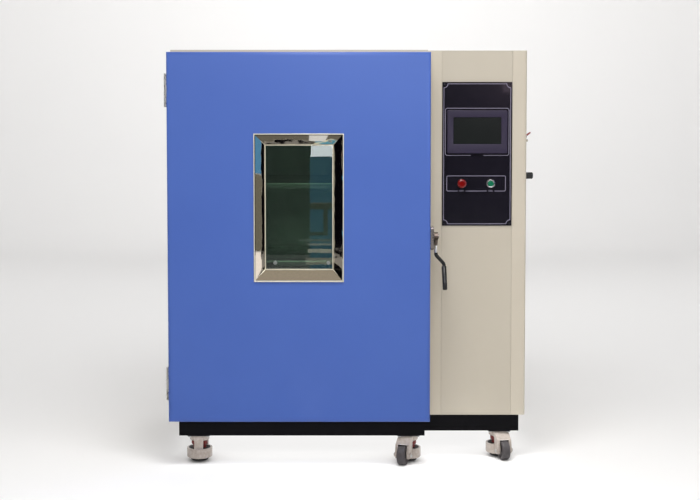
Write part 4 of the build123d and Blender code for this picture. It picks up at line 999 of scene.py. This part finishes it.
# Each frame has its corner radius and the places in its lower line that are left open.
frames = (
    ("screen", housing_low.x - screen_gap_x, housing_high.x + screen_gap_x,
     housing_low.z - screen_gap_z, housing_high.z + screen_gap_z, 7.0 * MM,
     [(housing_x, 21.0 * MM)]),
    ("buttons", collar_x - button_frame_half, collar_x + button_frame_half, word_line,
     collar_high.z + button_gap_z, 4.0 * MM, [(stop_x, 13.0 * MM), (start_x, 13.0 * MM)]),
)
for name, left, right, low, high, radius, gaps in frames:
    outline = (
        arc((right - radius, low + radius), radius, -pi / 2, 0)
        + arc((right - radius, high - radius), radius, 0, pi / 2)
        + arc((left + radius, high - radius), radius, pi / 2, pi)
        + arc((left + radius, low + radius), radius, pi, 1.5 * pi)
    )
    ends = [(gaps[0][0] - gaps[0][1], low)]
    starts = [(gaps[-1][0] + gaps[-1][1], low)]
    printed_line(name + "_frame_line", starts + outline + ends, False, ink_width)
    for (here, here_gap), (there, there_gap) in zip(gaps, gaps[1:]):
        printed_line(
            name + "_frame_foot_line", [(here + here_gap, low), (there - there_gap, low)],
            False, ink_width,
        )

ink_half = 0.06 * MM
word_size = 8.5 * MM
for name, word, x in (("stop_button_word", "OFF", stop_x), ("start_button_word", "ON", start_x)):
    lettering = bpy.data.curves.new(name, "FONT")
    lettering.body = word
    lettering.size = word_size
    lettering.align_x = "CENTER"
    lettering.align_y = "CENTER"
    lettering.extrude = ink_half
    mesh = drawn_out(new_object(name + "_curve", lettering))
    for vertex in mesh.vertices:
        vertex.co = (
            x + vertex.co.x, ink_front + ink_half - vertex.co.z, word_line + vertex.co.y
        )
    mesh.materials.clear()
    mesh.materials.append(pale_ink)
    word_piece = new_object(name, mesh)
    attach(word_piece, "oven")

black_screw = coated(
    "black_phosphated_screw", "3A383E", "242228", drift_mm=8, grain_mm=0.8,
    grain_depth_mm=0.01, roughness=0.3, Metallic=0.8,
)
fasteners(
    "faceplate_screws", cross_screw,
    [
        (x, face_low.y - 0.5 * MM, z)
        for x in (face_low.x + screw_inset, face_high.x - screw_inset)
        for z in (face_low.z + screw_inset, face_high.z - screw_inset)
    ],
    (0, -1, 0), 3.4, 1.2, black_screw, "oven", seed=4,
)

# ---------------------------------------------------------------- touch screen
# Housing moulded in dark violet grey ABS with an eroded texture, seated on the plate.  Its
# display lies under a dark glossy film.
housing_plastic = coated(
    "violet_grey_abs_housing", "281F3A", "221A31", drift_mm=120, grain_mm=1.4,
    grain_depth_mm=0.025, roughness=0.4, roughness_swing=0.05, **{"Specular IOR Level": 0.35},
)
refined("touch_screen", housing_plastic, crease=35, bevel_mm=1.2)
display_film = coated(
    "dark_display_film", "161B19", "121615", drift_mm=90, grain_mm=40,
    grain_depth_mm=0.02, roughness=0.2, roughness_swing=0.02,
)
dress(display_film, "display_glass")

# ---------------------------------------------------------------- push buttons
# Chrome plated collars clamped through the plate; a domed red mushroom and a flush green button,
# both glossy moulded acrylic.
satin_chrome = coated(
    "satin_chrome_plate", "D5D6D8", "B4B5B8", drift_mm=10, grain_mm=1.2,
    grain_depth_mm=0.01, roughness=0.2, Metallic=1.0,
)
refined("button_collars", satin_chrome, crease=35, bevel_mm=0.3)
red_acrylic = coated(
    "red_moulded_acrylic", "7F0503", "640302", drift_mm=12, grain_mm=9,
    grain_depth_mm=0.02, roughness=0.16, roughness_swing=0.04, **{"Coat Weight": 0.5},
)
green_acrylic = coated(
    "green_moulded_acrylic", "0A7451", "075A3F", drift_mm=10, grain_mm=9,
    grain_depth_mm=0.02, roughness=0.2, roughness_swing=0.04, **{"Coat Weight": 0.5},
)
refined("stop_button", red_acrylic, crease=35)
refined("start_button", green_acrylic, crease=35, bevel_mm=0.3)

# ---------------------------------------------------------------- door
# A skin folded from steel sheet with rolled edges, closed at the back by the liner.  It wears a
# blue polyester powder coat, half gloss with a fine peel.
blue_coat = coated(
    "blue_polyester_powder_coat", "4664AF", "3C5AA7", drift_mm=380, grain_mm=3.2,
    grain_depth_mm=0.05, roughness=0.4, roughness_swing=0.05, **{"Specular IOR Level": 0.35},
)
refined("door_skin", blue_coat, crease=30)

# ---------------------------------------------------------------- window frame
# Mirror polished stainless strip folded to four mitred slopes.  Polishing leaves the faces gently
# wavy, so that they draw reflections into streaks; beads in a pale, half-diffuse finish along the
# folded edges and mitres paint their highlights.


def mirror_steel(name, light, dark, wave_mm, wave_depth_mm, roughness):
    """Polished metal whose faces run slightly wavy, with faint polishing haze."""
    material, tree, surface = new_tree(name)
    haze = noise(tree, 7, 3.0)
    return finished(material, tree, surface, **{
        "Base Color": blend(tree, haze, dark, light), "Metallic": 1.0,
        "Roughness": ranged(tree, haze, roughness * 0.5, roughness * 1.5),
        "Normal": bumped(tree, noise(tree, wave_mm, 1.5), wave_depth_mm),
    })


polished = mirror_steel("mirror_polished_stainless", "D2CEC6", "C4C0B8", 70, 0.75, 0.03)
# Pale, half-diffuse finish for the rim, lip and mitre beads: painted highlight.
painted_rim_highlight = coated(
    "painted_highlight_folded_edge", "E6E0CC", "CFC8B4", drift_mm=30, grain_mm=2, grain_depth_mm=0.01,
    roughness=0.3, Metallic=0.45,
)
chrome = mirror_steel("bright_chrome_plate", "DCDDE0", "C6C7CB", 14, 0.15, 0.08)
dress(polished, "window_bezel")

pane_low, pane_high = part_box("outer_glass")
bezel_x, bezel_z = middle("window_bezel").xz
pane_cover = 13.5 * MM
glass_half = (pane_high - pane_low) / 2 - Vector((pane_cover, 0, pane_cover))
rim_half = (bezel_high - bezel_low) / 2
corner_sides = ((-1, -1), (1, -1), (1, 1), (-1, 1))


def square_bead(name, half_x, half_z, y, radius, rise, material, body):
    """A bead that runs once round a rectangle centred on the window, flattened to its rise."""
    bm = bmesh.new()
    loft(bm, [
        [
            bm.verts.new((
                bezel_x + corner_x * (half_x + radius * cos(turn)), y + rise * sin(turn),
                bezel_z + corner_z * (half_z + radius * cos(turn)),
            ))
            for turn in turns(8)
        ]
        for corner_x, corner_z in corner_sides
    ], closed=True, capped=False)
    bead = as_object(name, bm, material, smooth=True, crease=60)
    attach(bead, body)
    return bead


rim_bead = 1.6 * MM
rim_rise = 0.9 * MM
square_bead(
    "window_rim_bead", rim_half.x - rim_bead, rim_half.z - rim_bead, bezel_low.y, rim_bead,
    rim_rise, painted_rim_highlight, "door",
)
lip_bead = 1.4 * MM
square_bead(
    "window_lip_bead", glass_half.x - 0.2 * MM, glass_half.z - 0.2 * MM, bezel_high.y - lip_bead,
    lip_bead, lip_bead, painted_rim_highlight, "door",
)
bm = bmesh.new()
mitre_half = 0.9 * MM
mitre_inset = 3.0 * MM
for corner_x, corner_z in corner_sides:
    outer = Vector((
        bezel_x + corner_x * (rim_half.x - mitre_inset), bezel_low.y,
        bezel_z + corner_z * (rim_half.z - mitre_inset),
    ))
    inner = Vector((
        bezel_x + corner_x * glass_half.x, bezel_high.y - 0.5 * MM,
        bezel_z + corner_z * glass_half.z,
    ))
    along = (inner - outer).normalized()
    side = along.cross(Vector((0, 1, 0))).normalized()
    up = side.cross(along).normalized()
    loft(bm, [
        [
            bm.verts.new(end + side * mitre_half * cos(turn) + up * mitre_half * sin(turn))
            for turn in turns(6)
        ]
        for end in (outer, inner)
    ])
mitres = as_object("window_mitre_welds", bm, painted_rim_highlight, smooth=True, crease=60)
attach(mitres, "door")

# ---------------------------------------------------------------- window glass
# A toughened outer pane and a thick green-tinted sight glass, both with clean polished faces.
# They sit in the door's glass channel and cast no hard shadow on the shelves.


def clear_pane(name, colour):
    """Clear glass with its iron tint; a trace of haze keeps highlights from being perfect."""
    material, tree, surface = new_tree(name)
    smear = noise(tree, 60, 2.0)
    return finished(material, tree, surface, **{
        "Base Color": linear(colour), "Transmission Weight": 1.0, "IOR": 1.5,
        "Roughness": ranged(tree, smear, 0.0, 0.03, **{"From Min": 0.45, "From Max": 0.9}),
    })


dress(clear_pane("toughened_window_glass", "BFD0C6"), "outer_glass")
dress(clear_pane("thick_green_sight_glass", "9BB3A3"), "sight_glass")
for pane in ("outer_glass", "sight_glass"):
    nodes[pane].visible_shadow = False

# Domed screws and their nuts clamp the panes together near their lower corners.
clamp_drop = 179 * MM
clamp_places = [
    (x, bezel_z - clamp_drop) for x in (pane_low.x + 45 * MM, pane_high.x - 28 * MM)
]
fasteners(
    "window_clamp_screws", cross_screw,
    [(x, pane_low.y - 0.6 * MM, z) for x, z in clamp_places], (0, -1, 0), 6.2, 3.0,
    zinc_plate, "door", seed=12,
)
sight_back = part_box("sight_glass")[1].y
fasteners(
    "window_clamp_nuts", hexagon_bolt,
    [(x, sight_back + 0.4 * MM, z) for x, z in clamp_places], (0, 1, 0), 5.4, 3.0,
    zinc_plate, "door", seed=12,
)

# ---------------------------------------------------------------- hinges
# Cast hinges with round knuckles in satin nickel plate.  Domed screws hold each fixed leaf
# to the cabinet's side.
hinge_plating = mirror_steel("satin_nickel_plate", "E9E8E6", "D3D2D0", 14, 0.1, 0.3)
refined("hinge_fixed_leaves", hinge_plating, crease=35, bevel_mm=0.6)
refined("hinge_pins", hinge_plating, crease=35, bevel_mm=0.5)
refined("hinge_door_leaves", hinge_plating, crease=35, bevel_mm=0.6)
leaf_low, leaf_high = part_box("hinge_fixed_leaves")
hinge_height = 105 * MM
leaf_thickness = 4.4 * MM
leaf_edge = 9 * MM
leaf_screws = [
    (chamber_low.x - leaf_thickness, leaf_high.y - leaf_edge, low_z + share * hinge_height)
    for low_z in (leaf_low.z, leaf_high.z - hinge_height)
    for share in (0.14, 0.5, 0.86)
]
fasteners(
    "hinge_leaf_screws", cross_screw, leaf_screws, (-1, 0, 0), 3.6, 2.0, chrome, "oven",
    seed=21,
)

# ---------------------------------------------------------------- latch
# Base and keeper in aged nickel plate, and a cam lever with a burnished hub on a bright rod.  Its
# crank and handle are dipped in satin black vinyl.
aged_nickel = mirror_steel("aged_nickel_plate", "9A9290", "726A68", 9, 0.3, 0.3)


def part_plated(name, split_z):
    """Dark burnished casting above split_z, bright plated rod below it."""
    material, tree, surface = new_tree(name)
    cast = above(tree, split_z)
    haze = noise(tree, 5, 3.0)
    burnished = blend(tree, haze, "3E3430", "877B72")
    return finished(material, tree, surface, **{
        "Base Color": blend(tree, cast, "E2E3E6", burnished), "Metallic": 1.0,
        "Roughness": ranged(tree, cast, 0.14, 0.34), "Normal": bumped(tree, haze, 0.05, 0.8),
    })


lever_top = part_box("latch_lever")[1].z
hub_height = 43 * MM
lever_plating = part_plated("burnished_hub_on_bright_rod", lever_top - hub_height)
refined("latch_base", aged_nickel, crease=35, bevel_mm=0.4)
refined("latch_lever", lever_plating, crease=35, bevel_mm=0.5)
refined("latch_keeper", aged_nickel, crease=35, bevel_mm=0.5)
black_vinyl = coated(
    "satin_black_vinyl_dip", "0A0A0C", "050506", drift_mm=20, grain_mm=6,
    grain_depth_mm=0.05, roughness=0.34, roughness_swing=0.05, **{"Coat Weight": 0.12},
)
refined("latch_grip", black_vinyl, crease=35)
